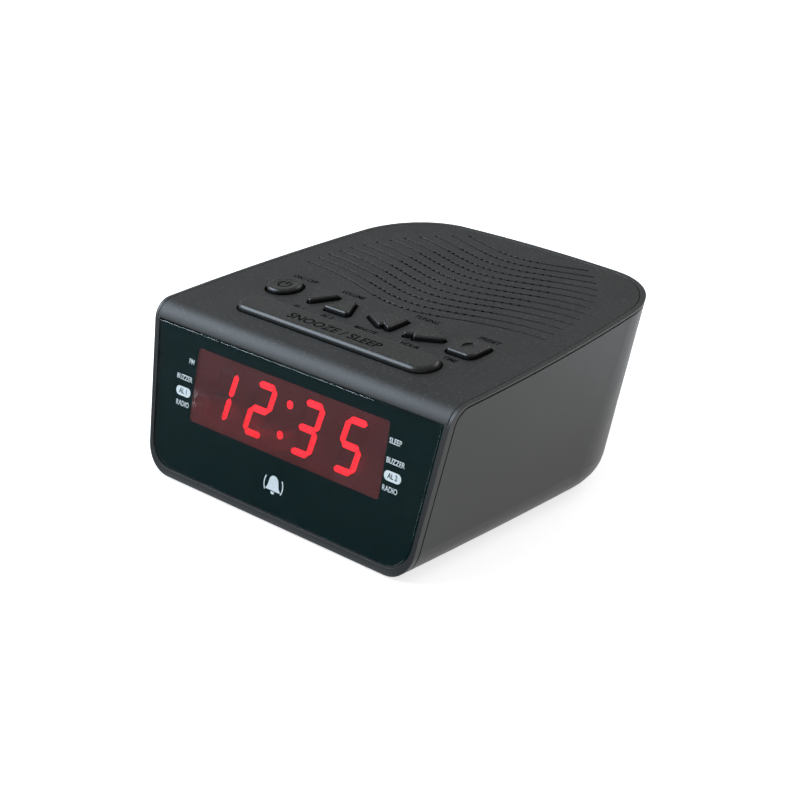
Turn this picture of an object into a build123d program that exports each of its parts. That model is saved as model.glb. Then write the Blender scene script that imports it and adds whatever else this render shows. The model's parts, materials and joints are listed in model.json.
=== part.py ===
from build123d import *
import math
import os

# A small bedside clock radio, in millimetres. X runs to the right, Y to the back and Z up.
# The origin is on the surface that the radio stands on, under the middle of its bounding box.

# Case: overall sizes, leans and rounding
FOOT_HEIGHT = 1.2           # how far the rubber feet hold the case off the table
CASE_DEPTH = 129.8          # front bottom edge to the back of the top
FRONT_RISE = 53.5           # case height where the front and top planes would meet, less the top's own rise
FRONT_LEAN = 12.95          # degrees that the front leans back
TOP_SLOPE = 2.57            # degrees that the top rises to the back
BROW_RADIUS = 7.5           # rounding between the front and the top
TOP_HALF_FRONT = 66.4       # half widths of the top outline, front, middle and back
TOP_HALF_MID = TOP_HALF_FRONT - 1.55
TOP_HALF_BACK = TOP_HALF_FRONT - 9.5
BOTTOM_HALF_FRONT = TOP_HALF_FRONT - 7.4    # the same along the bottom, which is narrower
BOTTOM_HALF_MID = TOP_HALF_FRONT - 7.1
BOTTOM_HALF_BACK = TOP_HALF_FRONT - 7.5
BOTTOM_SETBACK = 11.8       # how far the back wall comes in at the bottom
BACK_BOW = 3.6              # how far the middle of the back bulges past its ends
TOP_CORNER = 28.3           # back corner radii in plan
BOTTOM_CORNER = 42.0
BOTTOM_ROUND = 10.5         # rounding under the sides and the back
OUTLINE_RISE = 60.0         # height over the bottom at which the top outline is drawn

# Case walls and the joint between the shell and the rim frame
WALL = 2.4
LIP = 0.9                   # outer lip of the shell that stands beside the frame's neck
NECK_GAP = 0.15
BAND_FRONT = 2.0            # depth of the frame's visible band, at the front and at the top
BAND_TOP = 0.7
GROOVE_FRONT = 0.5          # shadow groove between the band and the shell
GROOVE_TOP = 0.5
RIM_WIDTH = 1.9             # visible width of the frame round the top panel
RIM_EXTRA_FRONT = 0.6       # how much wider it is at the front
RIM_EXTRA_MID = 0.3
LEDGE = 1.7                 # ledge under the edge of the top panel
WEB_DEPTH = 3.6             # how deep the frame's web and ledge reach
SHELL_GAP = 0.15
SKIRT = 1.0
SKIRT_DEPTH = 7.0

# Top panel and its grille
PANEL = 2.0
PANEL_GAP = 0.25
GROOVES = 13
GROOVE_PITCH = 4.78
GROOVE_FIRST = 59.5         # middle of the front groove, from the front bottom edge
GROOVE_SWEEP = 10.0         # how far a groove's ends lie behind its middle
GROOVE_SPREAD = 29.0
GROOVE_WIDTH = 1.0
GROOVE_DEPTH = 0.3
GROOVE_POINTS = 4           # points of a groove's curve on each side of its middle
GROOVE_HALF_FRONT = 53.0    # half length of the front groove
GROOVE_HALF_BACK = 26.8     # half length of the back groove
GROOVE_TAPER = 2.4          # how sharply the grooves shorten to the back
HOLE_R = 0.68
HOLE_PITCH = 2.85
HOLE_COUNTS = [11, 17, 19, 19, 21, 21, 21, 21, 19, 17, 15, 11, 7]

# Front lens and display
LENS = 1.6
LENS_PROUD = 0.2
LENS_MARGIN_TOP = 2.3       # from the lens's sides to the case sides, at its top and its bottom
LENS_MARGIN_BOTTOM = 2.05
LENS_LOW = 3.1              # up the front plane
LENS_HIGH = 50.1
LENS_CORNER = 9.5
LENS_GAP = 0.6
LENS_EDGE = 0.15
WINDOW_X = -0.5
WINDOW_WIDTH = 85.6
WINDOW_HEIGHT = 24.5
WINDOW_MID = 33.3           # middle of the window, up the front plane
FILTER = 0.5
FILTER_GAP = 0.1
WINDOW_GAP = 0.3
MODULE_DEPTH = 7.0
DIGIT_HEIGHT = 16.4         # between the centre lines of the top and bottom segments
DIGIT_WIDTH = 7.7
DIGIT_STROKE = 2.1
DIGIT_CENTRES = (-29.9, -12.1, 9.2, 28.05)      # from the middle of the window
DIGIT_SLANT = 12.5          # degrees
COLON_X = -0.65
COLON_SHARE = 0.32          # height of each colon dot over the middle, as a share of the digit
COLON_R = 1.3
SEGMENT_TIP_GAP = 0.17
SEGMENT_EDGE = 0.3
SEGMENT_HEIGHT = 0.1
BOARD_PAST_WINDOW = 1.4     # how far the display board reaches past the window
BOARD_BELOW_WINDOW = 6.5
BOARD_ABOVE_WINDOW = 0.5
DISPLAY_SCREW_INSET = 8.2   # from the board's end
DISPLAY_SCREW_RISE = 2.9    # from the board's lower edge
BOARD = 1.6                 # thickness of every circuit board

# Keys: where each one is on the top, and how it moves
KEY_PROUD = 1.6
KEY_GAP = 0.8
BAR_GAP = 0.5
KEY_TRAVEL = 0.5
KEY_FLANGE = 0.8
KEY_CATCH = 0.5             # how far a key's flange reaches past its hole
KEY_EDGE = 0.8
ROUND_KEY_EDGE = 1.1
PANEL_TO_FLANGE = 0.1
BAR_PROUD = 1.9
BAR_EDGE = 1.6
BAR_LENGTH = 85.4
BAR_WIDTH = 11.8
BAR_Y = 30.1
KEY_ROW_Y = 47.35
KEY_ROW_HALF = 5.15
POWER_X = -41.5
POWER_R = 6.0
POWER_DISH_R = 26.4         # radius of its hollow
POWER_DISH_DEPTH = 0.4
DOWN_X = -25.5
UP_X = -12.7
TRIANGLE_HALF = 5.9
LEFT_TIP_X = -3.2
LEFT_BASE_X = 11.1
RIGHT_BASE_X = 16.9
RIGHT_TIP_X = 31.2
ARROW_STEP = 4.0            # the double arrows: distance between their two heads
ARROW_CORNER = 0.8
ARROW_NOTCH_R = 0.25
ARROW_STEM_INSET = 4.2      # from an arrow's base to its stem
TRIANGLE_STEM_SHIFT = 1.8   # stems of the triangles, towards their bases
BAR_STEM_SHIFT = 0.4
PRESET_X = 40.4
PRESET_WIDTH = 11.0
PRESET_CORNER = 2.2
PRESET_DIMPLE_R = 2.5
PRESET_DIMPLE = 0.45
PRESET_EXTRA = 0.3          # how much longer it is than the row
TRIANGLE_CORNER = 1.0
STEM_R = 2.0
STEM_LENGTH = 2.6
PLUNGER_R = 1.6
PLUNGER_CLEARANCE = 0.05
PLUNGER_LENGTH = 2.4
PLUNGER_IN = 1.2
SWITCH_WIDTH = 6.0
SWITCH_HEIGHT = 3.5
SWITCH_BORE_SPARE = 0.3
BAR_SWITCH_X = 25.0

# Key board
KEY_BOARD_BEFORE = 3.6      # how far the board reaches before the bar's middle
KEY_BOARD_AFTER = 11.0      # and behind the key row's middle
KEY_BOARD_MARGIN = 7.0      # past the outer keys' middles
KEY_BOARD_POST_INSET = 2.2
KEY_BOARD_BACK_POST_X = 32.2
POST_R = 1.9
PEG_ROOT = 0.5              # how deep the display board's pegs run into the web

# Screws and the columns that they pass through
COLUMN_R = 4.0
COLUMN_INSET_FRONT = 17.4   # from the top's half widths at the front and the back
COLUMN_INSET_BACK = 22.9
COLUMN_BEHIND_FRONT = 20.5  # from the front bottom edge
COLUMN_BEFORE_BACK = 29.8   # from the back of the top
COLUMN_TOP = 42.0
SCREW_R = 1.25
SCREW_CLEARANCE = 0.35
SCREW_HEAD_R = 2.6
SCREW_HEAD = 1.8
SCREW_BITE = 6.0
HEAD_SINK = 6.0
BOSS_R = 3.2
SMALL_SCREW_R = 0.9
SMALL_HEAD_R = 1.8
SMALL_HEAD = 1.0
SMALL_BITE = 3.0
SMALL_HOLE_PLAY = 0.2
SMALL_SPARE = 0.3           # how far a small screw ends before its hole does
CROSS_LENGTH = 1.1          # the recess in a screw head, as shares of the head's radius
CROSS_WIDTH = 0.28

# Loudspeaker
SPEAKER_R = 28.5
SPEAKER_Y = 88.0
SPEAKER_FLANGE = 1.2
SPEAKER_DEPTH = 11.0
SPEAKER_NECK_R = 14.5
SPEAKER_CONE_R = SPEAKER_R - 3.5
SPEAKER_SHEET = 0.8
BASKET_WINDOW = (9.0, 12.0, 5.0)
BASKET_WINDOW_REACH = 5.5   # from the neck out to the middle of a basket window
CONE_NECK_R = 7.0
CONE_NECK_RISE = 3.0        # over the back of the basket
CONE_SHEET = 0.5
CONE_PLAY = 0.6
CONE_LIP = 0.4
ROLL_HALF = 1.6             # half width of the cone's rolled edge, and the depths along it
ROLL_CREST = 0.4
ROLL_EDGE = 0.6
ROLL_VALLEY = 1.2
DUST_CAP_R = 6.8
DUST_SHOULDER_R = 4.0
DUST_CROWN = 5.0            # heights of the dust cap over the back of the basket
DUST_SHOULDER = 4.4
DUST_EDGE = 2.8
MAGNET_R = 16.0
MAGNET_DEPTH = 6.5
MAGNET_EDGE = 0.5
SPEAKER_SCREW_RING = SPEAKER_R + 2.7
SPEAKER_WASHER_R = 4.2
SPEAKER_WASHER = 0.6
SPEAKER_BITE = 2.0
SPEAKER_HOLE = 2.5

# Main board and what stands on it; places run from the board's front left corner
MAIN_X0 = -10.0
MAIN_X1 = 50.0
MAIN_Y0 = 33.0
MAIN_Y1 = 92.0
MAIN_Z = 19.0
MAIN_INSET = 3.5
CHIPS = [(30.0, 26.0, (22.0, 8.0, 3.2)), (16.0, 38.0, (12.0, 7.0, 2.6))]
CAPACITORS = [(8.0, 14.0, 5.0, 11.0), (20.0, 12.0, 3.2, 8.0), (9.0, 27.0, 3.2, 8.0), (47.0, 14.0, 4.0, 9.0)]
CAPACITOR_ROUND = 0.6
CANS = [(34.0, 40.0, (7.2, 7.2, 8.5)), (43.0, 40.0, (7.2, 7.2, 8.5))]
ROD_Y = 49.5
ROD_LIFT = 6.0
ROD_R = 4.0
ROD_LENGTH = 50.0
COIL_R = 5.2
COIL_LENGTH = 18.0
COIL_SHIFT = 4.0
HOLDER = (3.0, 11.0, 8.0)
HOLDER_REACH = 20.0

# Transformer
TRANSFORMER_X = -33.0
TRANSFORMER_Y = 74.0
TRANSFORMER_LENGTH = 34.0
TRANSFORMER_WIDTH = 26.0
TRANSFORMER_HEIGHT = 25.0
TRANSFORMER_LIFT = 4.5
CORE_LIMB = 6.0
CORE_STACK = 14.0
WINDING_PLAY = 0.2
WINDING_ROUND = 2.0
EAR = 1.0
EAR_REACH = 5.0
EAR_HOLE_REACH = 2.0        # from the core's end to the middle of an ear's hole

# Flat leads
RIBBON = 0.7
RIBBON_GAP = 0.1
DISPLAY_RIBBON_WIDTH = 18.0
DISPLAY_RIBBON_X = 12.0
DISPLAY_RIBBON_DROP = 8.0   # under the middle of the window
DISPLAY_RIBBON_RUN = 7.0    # straight back from the board, then sloping down
DISPLAY_RIBBON_SLOPE = 5.0
DISPLAY_RIBBON_ROUND = 2.5
KEY_RIBBON_WIDTH = 16.0
KEY_RIBBON_X = -6.0
KEY_RIBBON_Y = 40.0
KEY_RIBBON_RUN = 7.0
KEY_RIBBON_RISE = 5.0
KEY_RIBBON_SWAY = 0.5
KEY_RIBBON_ROUND = 2.0
RIBBON_LANDING = 4.0        # where the display's lead lands, behind the main board's front edge

# Battery bay and its hinged door
BAY_X = 16.0
BAY_Y = 55.5
BAY_LENGTH = 52.0
BAY_WIDTH = 23.0
BAY_HEIGHT = 13.0
BAY_WALL = 1.4
DOOR = 1.8
DOOR_GAP = 0.3
DOOR_RIM = 1.6
DOOR_PLAY = 0.1             # how much thinner the door is than its seat is deep
HINGE_R = 0.9
HINGE_CLEARANCE = 0.06
HINGE_LIFT = 0.05           # of the hinge line over the middle of the door
HINGE_PIN = 1.6
HINGE_PIN_SPARE = 0.4
HINGE_ARM = 1.4             # the plate starts at this many hinge radii behind its front edge
GRIP_RIBS = 5
GRIP_PITCH = 1.6
GRIP_INSET = 2.0
GRIP_CUT = (14.0, 0.7, 0.8)
CONTACT = 0.5
CONTACT_HEIGHT = 9.0
CONTACT_INSET = 2.0
SPRING_PITCH = 1.6
SPRING_LENGTH = 4.8
SPRING_R = 2.6
SPRING_WIRE_R = 0.3
SPRING_SINK = 0.05

# Feet, the mains lead's grommet and the vents
FOOT_R = 5.5
FOOT_SINK = 0.8
FOOT_EDGE = 0.4
FOOT_INSET_FRONT = 26.4     # from the top's half widths at the front and the back
FOOT_INSET_BACK = 25.9
FOOT_BEHIND_FRONT = 13.0
FOOT_BEFORE_BACK = 45.8
GROMMET_X = -20.0
GROMMET_Z = 15.0
GROMMET_R = 4.2
GROMMET_SQUEEZE = 0.05
GROMMET_LIP = 1.4           # how far its flanges reach past the hole, and stand off the wall
GROMMET_INNER = 1.1
GROMMET_TAPER = 0.5
GROMMET_FLANGE = 1.2
GROMMET_BORE = 2.6
VENTS = 9
VENT_PITCH = 4.6
VENT_WIDTH = 1.8
VENT_HEIGHT = 12.0
VENT_Z = 34.0

# Derived places
Y_FRONT = -CASE_DEPTH / 2
Z_BOTTOM = FOOT_HEIGHT
LEAN = math.radians(FRONT_LEAN)
SLOPE = math.radians(TOP_SLOPE)
FRONT = Plane(
    origin=(0, Y_FRONT, Z_BOTTOM),
    x_dir=(1, 0, 0),
    z_dir=(0, -math.cos(LEAN), math.sin(LEAN)),
)
TOP = Plane(
    origin=(0, Y_FRONT, Z_BOTTOM + FRONT_RISE),
    x_dir=(1, 0, 0),
    z_dir=(0, -math.sin(SLOPE), math.cos(SLOPE)),
)
REACH = 200.0               # larger than the radio, for cutting
FRONT_EXTRA = 12.0          # how far the outlines run on in front of the front plane
FLANGE_TOP = PANEL + PANEL_TO_FLANGE
STEM_END = FLANGE_TOP + KEY_FLANGE + STEM_LENGTH
SWITCH_TOP = STEM_END + PLUNGER_LENGTH - PLUNGER_IN
KEY_BOARD_DEPTH = SWITCH_TOP + SWITCH_HEIGHT
KEY_BOARD_FRONT = BAR_Y - KEY_BOARD_BEFORE
KEY_BOARD_BACK = KEY_ROW_Y + KEY_BOARD_AFTER
KEY_BOARD_HALF = KEY_BOARD_MARGIN - POWER_X
KEY_BOARD_POSTS = [
    (KEY_BOARD_POST_INSET - KEY_BOARD_HALF, KEY_BOARD_FRONT + KEY_BOARD_POST_INSET),
    (KEY_BOARD_HALF - KEY_BOARD_POST_INSET, KEY_BOARD_FRONT + KEY_BOARD_POST_INSET),
    (-KEY_BOARD_BACK_POST_X, KEY_BOARD_BACK - KEY_BOARD_POST_INSET),
    (KEY_BOARD_BACK_POST_X, KEY_BOARD_BACK - KEY_BOARD_POST_INSET),
]
COLUMN_PLACES = [
    (COLUMN_INSET_FRONT - TOP_HALF_FRONT, COLUMN_BEHIND_FRONT),
    (TOP_HALF_FRONT - COLUMN_INSET_FRONT, COLUMN_BEHIND_FRONT),
    (COLUMN_INSET_BACK - TOP_HALF_BACK, CASE_DEPTH - COLUMN_BEFORE_BACK),
    (TOP_HALF_BACK - COLUMN_INSET_BACK, CASE_DEPTH - COLUMN_BEFORE_BACK),
]
FOOT_PLACES = [
    (FOOT_INSET_FRONT - TOP_HALF_FRONT, FOOT_BEHIND_FRONT),
    (TOP_HALF_FRONT - FOOT_INSET_FRONT, FOOT_BEHIND_FRONT),
    (FOOT_INSET_BACK - TOP_HALF_BACK, CASE_DEPTH - FOOT_BEFORE_BACK),
    (TOP_HALF_BACK - FOOT_INSET_BACK, CASE_DEPTH - FOOT_BEFORE_BACK),
]
MODULE_FRONT = LENS - LENS_PROUD + FILTER + FILTER_GAP
DISPLAY_BOARD_DEPTH = MODULE_FRONT + MODULE_DEPTH
DISPLAY_BOARD_HALF = WINDOW_WIDTH / 2 + BOARD_PAST_WINDOW
DISPLAY_BOARD_LOW = WINDOW_MID - WINDOW_HEIGHT / 2 - BOARD_BELOW_WINDOW
DISPLAY_BOARD_HIGH = WINDOW_MID + WINDOW_HEIGHT / 2 + BOARD_ABOVE_WINDOW
MAIN_TOP = MAIN_Z + BOARD

os.makedirs("parts", exist_ok=True)


def save(name, shape):
    """Write one node, as a compound of its solids, to its own file."""
    solids = shape.solids()
    export_step(Compound(children=list(solids)), f"parts/{name}.step")
    print(f"{name}: {len(solids)} solids, {sum(s.volume for s in solids):.1f} mm3")


def floor_point(x, y, z=0.0):
    """A place given by x, distance behind the front bottom edge, and height over the table."""
    return Pos(x, Y_FRONT + y, z)


def on_top(x, y, depth=0.0):
    """A place on the top plane, and how far under it."""
    return TOP * Pos(x, y, -depth)


def on_front(x, rise, depth=0.0):
    """A place on the front plane, and how far behind it."""
    return FRONT * Pos(x, rise, -depth)


def plan_outline(half_front, half_mid, half_back, back, corner, inset, z):
    """The case outline at one height: bowed sides, a bowed back and round back corners."""
    front_y = -FRONT_EXTRA
    mid_y = back / 2
    end_y = back - BACK_BOW - inset
    front_x = half_front - inset
    mid_x = half_mid - inset
    end_x = half_back - inset
    lines = [
        Line((-front_x, front_y), (front_x, front_y)),
        ThreePointArc((front_x, front_y), (mid_x, mid_y), (end_x, end_y)),
        ThreePointArc((end_x, end_y), (0, back - inset), (-end_x, end_y)),
        ThreePointArc((-end_x, end_y), (-mid_x, mid_y), (-front_x, front_y)),
    ]
    face = make_face(lines)
    back_corners = face.vertices().sort_by(Axis.Y)[-2:]
    face = fillet(back_corners, corner - inset)
    return floor_point(0, 0, z) * face


def envelope(inset=0.0):
    """The case's outer shape, or the same shape brought in by inset, still without front and top."""
    low = plan_outline(
        BOTTOM_HALF_FRONT, BOTTOM_HALF_MID, BOTTOM_HALF_BACK,
        CASE_DEPTH - BOTTOM_SETBACK, BOTTOM_CORNER, inset, Z_BOTTOM,
    )
    high = plan_outline(
        TOP_HALF_FRONT, TOP_HALF_MID, TOP_HALF_BACK,
        CASE_DEPTH, TOP_CORNER, inset, Z_BOTTOM + OUTLINE_RISE,
    )
    body = loft([low.faces()[0], high.faces()[0]], ruled=True)
    floor = Z_BOTTOM + inset
    body = split(body, Plane.XY.offset(floor), keep=Keep.TOP)
    bottom = body.faces().sort_by(Axis.Z)[0]
    edges = bottom.edges().sort_by(Axis.Y)[1:]
    return fillet(edges, BOTTOM_ROUND - inset)


def wedge(front_depth=0.0, top_depth=None):
    """Everything behind the front plane and under the top plane, both taken in by a depth."""
    if top_depth is None:
        top_depth = front_depth
    tan_lean = math.tan(LEAN)
    tan_slope = math.tan(SLOPE)
    front_shift = front_depth / math.cos(LEAN)
    top_shift = top_depth / math.cos(SLOPE)
    rise = (FRONT_RISE - top_shift + tan_slope * front_shift) / (1 - tan_lean * tan_slope)
    brow = (front_shift + rise * tan_lean, rise)
    foot = (front_shift - FRONT_EXTRA * tan_lean, -FRONT_EXTRA)
    back = (REACH, FRONT_RISE - top_shift + REACH * tan_slope)
    under = (REACH, -FRONT_EXTRA)
    profile = make_face(Polyline(foot, brow, back, under, close=True))
    corner = profile.vertices().sort_by_distance((brow[0], brow[1], 0))[0]
    radius = BROW_RADIUS - min(front_depth, top_depth)
    profile = fillet(corner, max(radius, 1.0))
    side_view = Plane(origin=(0, Y_FRONT, Z_BOTTOM), x_dir=(0, 1, 0), z_dir=(1, 0, 0))
    return extrude(side_view * profile, REACH / 2, both=True)


def panel_prism(inset):
    """A column over the top panel's outline, brought in by inset from the case edge."""
    outline = plan_outline(
        TOP_HALF_FRONT - RIM_EXTRA_FRONT, TOP_HALF_MID - RIM_EXTRA_MID, TOP_HALF_BACK,
        CASE_DEPTH, TOP_CORNER, inset, 0,
    )
    return extrude(outline, REACH)


def front_half(rise):
    """Half the case width at a distance up the front plane."""
    share = rise * math.cos(LEAN) / OUTLINE_RISE
    return BOTTOM_HALF_FRONT + (TOP_HALF_FRONT - BOTTOM_HALF_FRONT) * share


def lens_outline(grow=0.0):
    """The lens: wider at the top, with two round bottom corners, drawn on the front plane."""
    low = LENS_LOW - grow
    high = LENS_HIGH + grow
    bottom = front_half(LENS_LOW) - LENS_MARGIN_BOTTOM + grow
    top = front_half(LENS_HIGH) - LENS_MARGIN_TOP + grow
    face = make_face(Polyline((-bottom, low), (bottom, low), (top, high), (-top, high), close=True))
    corners = face.vertices().sort_by(Axis.Y)[:2]
    return fillet(corners, LENS_CORNER + grow)


def over_lens():
    """The space above the lens's top edge, square to the front plane."""
    return on_front(0, LENS_HIGH + REACH / 2 + LENS_GAP) * Box(REACH, REACH, 2 * REACH)


def window_box(grow, front_depth, back_depth):
    """A block over the display window, between two depths behind the front plane."""
    depth = back_depth - front_depth
    place = on_front(WINDOW_X, WINDOW_MID, (front_depth + back_depth) / 2)
    return place * Box(WINDOW_WIDTH + 2 * grow, WINDOW_HEIGHT + 2 * grow, depth)


def turned(profile_points):
    """A turned piece from (radius, height) points."""
    face = make_face(Polyline(*profile_points, close=True))
    return revolve(Plane.XZ * face, Axis.Z)


def screw(radius, head_radius, head, length):
    """A pan-head screw with a cross recess; its head sits on z = 0 and it points up."""
    body = Pos(0, 0, -head / 2) * Cylinder(head_radius, head)
    body += Pos(0, 0, length / 2) * Cylinder(radius, length)
    for turn in (0, 90):
        slot = Box(head_radius * CROSS_LENGTH, head_radius * CROSS_WIDTH, head)
        body -= Rot(0, 0, turn) * Pos(0, 0, -head) * slot
    return body


# ---------------------------------------------------------------- case
def column_height(place):
    """Height over the table at which a case column meets its boss."""
    return Z_BOTTOM + COLUMN_TOP + place[1] * math.tan(SLOPE)


def make_shell():
    groove = wedge(BAND_FRONT + GROOVE_FRONT, BAND_TOP + GROOVE_TOP)
    shell = envelope() & groove
    shell -= envelope(WALL)
    neck_room = envelope(LIP) - wedge(WEB_DEPTH + SHELL_GAP, WEB_DEPTH + SHELL_GAP)
    shell -= neck_room
    inside = envelope(WALL / 2) & wedge(WEB_DEPTH + SHELL_GAP + 1)
    for place in COLUMN_PLACES:
        height = column_height(place) - Z_BOTTOM - 1
        column = floor_point(*place, Z_BOTTOM + 1 + height / 2) * Cylinder(COLUMN_R, height)
        shell += column & inside
    # posts under the main board and the transformer
    for x, y in main_board_places():
        height = MAIN_Z - Z_BOTTOM - 1
        post = floor_point(x, y, Z_BOTTOM + 1 + height / 2) * Cylinder(COLUMN_R - 1, height)
        shell += post & inside
    for x, y in transformer_places():
        height = TRANSFORMER_LIFT - 1
        shell += floor_point(x, y, Z_BOTTOM + 1 + height / 2) * Cylinder(COLUMN_R - 1, height)
    # battery bay: walls and a roof
    bay_outer = Box(BAY_LENGTH + 2 * BAY_WALL, BAY_WIDTH + 2 * BAY_WALL, BAY_HEIGHT + BAY_WALL - 1)
    bay_mid = Z_BOTTOM + 1 + (BAY_HEIGHT + BAY_WALL - 1) / 2
    shell += floor_point(BAY_X, BAY_Y, bay_mid) * bay_outer
    shell -= floor_point(BAY_X, BAY_Y, Z_BOTTOM + BAY_HEIGHT / 2) * Box(BAY_LENGTH, BAY_WIDTH, BAY_HEIGHT)
    shell -= door_recess()
    # screw holes, with the heads sunk from below
    for place in COLUMN_PLACES:
        shell -= floor_point(*place, REACH / 2) * Cylinder(SCREW_R + SCREW_CLEARANCE, REACH)
        sink = Z_BOTTOM + HEAD_SINK
        shell -= floor_point(*place, sink / 2) * Cylinder(SCREW_HEAD_R + SCREW_CLEARANCE, sink)
    for x, y in main_board_places():
        top = floor_point(x, y, MAIN_Z - SMALL_BITE / 2)
        shell -= top * Cylinder(SMALL_SCREW_R, SMALL_BITE)
    for x, y in transformer_places():
        top = floor_point(x, y, Z_BOTTOM + TRANSFORMER_LIFT - SMALL_BITE / 2)
        shell -= top * Cylinder(SMALL_SCREW_R, SMALL_BITE)
    for place in FOOT_PLACES:
        shell -= floor_point(*place, Z_BOTTOM + FOOT_SINK / 2) * Cylinder(FOOT_R, FOOT_SINK)
    shell -= grommet_place() * Cylinder(GROMMET_R, REACH / 4)
    for i in range(VENTS):
        x = (i - (VENTS - 1) / 2) * VENT_PITCH
        slot = SlotOverall(VENT_HEIGHT, VENT_WIDTH, rotation=90)
        cutter = extrude(Plane.XZ * slot, REACH / 8, both=True)
        shell -= Pos(x, CASE_DEPTH / 2, VENT_Z) * cutter
    return shell


def main_board_places():
    """Where the main board is screwed down."""
    left = MAIN_X0 + MAIN_INSET
    right = MAIN_X1 - MAIN_INSET
    return [(x, y) for x in (left, right) for y in (MAIN_Y0 + MAIN_INSET, MAIN_Y1 - MAIN_INSET)]


def transformer_places():
    """Where the transformer's ears are screwed down."""
    reach = TRANSFORMER_LENGTH / 2 + EAR_HOLE_REACH
    return [(TRANSFORMER_X, TRANSFORMER_Y + side * reach) for side in (-1, 1)]


def grommet_place():
    """The mains lead's hole in the back wall, with z along the hole."""
    back = CASE_DEPTH - BOTTOM_SETBACK * (1 - (GROMMET_Z - Z_BOTTOM) / OUTLINE_RISE)
    bow = BACK_BOW * (GROMMET_X / TOP_HALF_BACK) ** 2
    return floor_point(GROMMET_X, back - bow - WALL / 2, GROMMET_Z) * Rot(-90, 0, 0)


def door_recess():
    """The stepped opening in the bottom that the battery door closes."""
    seat = Box(BAY_LENGTH + 2 * DOOR_RIM, BAY_WIDTH + 2 * DOOR_RIM, DOOR)
    recess = floor_point(BAY_X, BAY_Y, Z_BOTTOM + DOOR / 2) * seat
    pin_length = BAY_LENGTH + 2 * DOOR_RIM + 2 * HINGE_PIN
    pins = Rot(0, 90, 0) * Cylinder(HINGE_R + HINGE_CLEARANCE, pin_length)
    return recess + door_axis_place() * pins


def door_axis_place():
    """The battery door's hinge line."""
    y = BAY_Y - BAY_WIDTH / 2 - DOOR_RIM + HINGE_R + DOOR_GAP
    return floor_point(BAY_X, y, Z_BOTTOM + DOOR / 2 + HINGE_LIFT)


def make_rim():
    outer = envelope()
    band = outer & (wedge() - wedge(BAND_FRONT, BAND_TOP))
    neck = envelope(LIP + NECK_GAP) & (wedge(BAND_FRONT, BAND_TOP) - wedge(WEB_DEPTH))
    skirt = envelope(WALL + SHELL_GAP) - envelope(WALL + SHELL_GAP + SKIRT)
    skirt &= wedge(WEB_DEPTH) - wedge(SKIRT_DEPTH)
    rim = band + neck + skirt
    above = over_lens()
    rim -= panel_prism(RIM_WIDTH) & above & (wedge(-1) - wedge(PANEL + SHELL_GAP))
    rim -= panel_prism(RIM_WIDTH + LEDGE) & above
    pocket = extrude(FRONT * lens_outline(LENS_GAP), REACH / 4)
    slab = extrude(FRONT * lens_outline(LENS_GAP), -(LENS - LENS_PROUD))
    rim -= pocket + slab
    rim -= window_box(WINDOW_GAP, 0, REACH / 4)
    for place in COLUMN_PLACES[:2]:
        rim -= floor_point(*place, REACH / 2) * Cylinder(COLUMN_R + WINDOW_GAP, REACH)
    return rim


def groove_line(index):
    """The middle of one grille groove: a bell-shaped curve that is widest at the front."""
    middle = GROOVE_FIRST + index * GROOVE_PITCH
    along = index / (GROOVES - 1)
    half = GROOVE_HALF_FRONT - (GROOVE_HALF_FRONT - GROOVE_HALF_BACK) * along ** GROOVE_TAPER
    points = []
    for step in range(-GROOVE_POINTS, GROOVE_POINTS + 1):
        x = half * step / GROOVE_POINTS
        points.append((x, groove_y(x, middle)))
    return Spline(*points)


def groove_y(x, middle):
    """How far back a groove lies at x."""
    return middle + GROOVE_SWEEP * (1 - math.exp(-((x / GROOVE_SPREAD) ** 2)))


def make_grille_cut():
    """All the grooves and holes of the grille, as one cutter."""
    cutters = []
    for index in range(GROOVES):
        strip = trace(groove_line(index), line_width=GROOVE_WIDTH)
        cutters.append(extrude(TOP * strip, -GROOVE_DEPTH))
        middle = GROOVE_FIRST + index * GROOVE_PITCH
        count = HOLE_COUNTS[index]
        for i in range(count):
            x = (i - (count - 1) / 2) * HOLE_PITCH
            hole = Cylinder(HOLE_R, 4 * PANEL)
            cutters.append(on_top(x, groove_y(x, middle), 0) * hole)
    return cutters


def make_panel():
    skin = (wedge() - wedge(PANEL)) & panel_prism(RIM_WIDTH + PANEL_GAP) & over_lens()
    panel = skin
    for place in COLUMN_PLACES:
        low = column_height(place)
        high = Z_BOTTOM + FRONT_RISE + place[1] * math.tan(SLOPE) - PANEL / 2
        boss = floor_point(*place, (low + high) / 2) * Cylinder(BOSS_R, high - low)
        boss -= floor_point(*place, low) * Cylinder(SCREW_R, 2 * SCREW_BITE)
        panel += boss
    for x, y in KEY_BOARD_POSTS:
        length = KEY_BOARD_DEPTH - PANEL / 2
        post = on_top(x, y, PANEL / 2 + length / 2) * Cylinder(POST_R, length)
        post -= on_top(x, y, KEY_BOARD_DEPTH) * Cylinder(SMALL_SCREW_R, 2 * SMALL_BITE)
        panel += post
    for x, y in speaker_screw_places():
        length = SPEAKER_FLANGE + PANEL / 2
        panel += on_top(x, y, PANEL / 2 + length / 2) * Cylinder(POST_R, length)
        panel -= on_top(x, y, PANEL / 2 + length) * Cylinder(SMALL_SCREW_R, 2 * SPEAKER_HOLE)
    for name, outline in key_outlines().items():
        hole = offset(outline, key_gap(name), kind=Kind.ARC)
        panel -= extrude(TOP * Pos(0, 0, -PANEL / 2) * hole, 2 * PANEL, both=True)
    panel -= make_grille_cut()
    return panel


# ---------------------------------------------------------------- keys
def key_gap(name):
    """The gap round a key in the panel."""
    return BAR_GAP if name == "snooze_bar" else KEY_GAP


def triangle(points):
    """A three-sided key outline with rounded corners."""
    face = make_face(Polyline(*points, close=True))
    return fillet(face.vertices(), TRIANGLE_CORNER)


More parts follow.
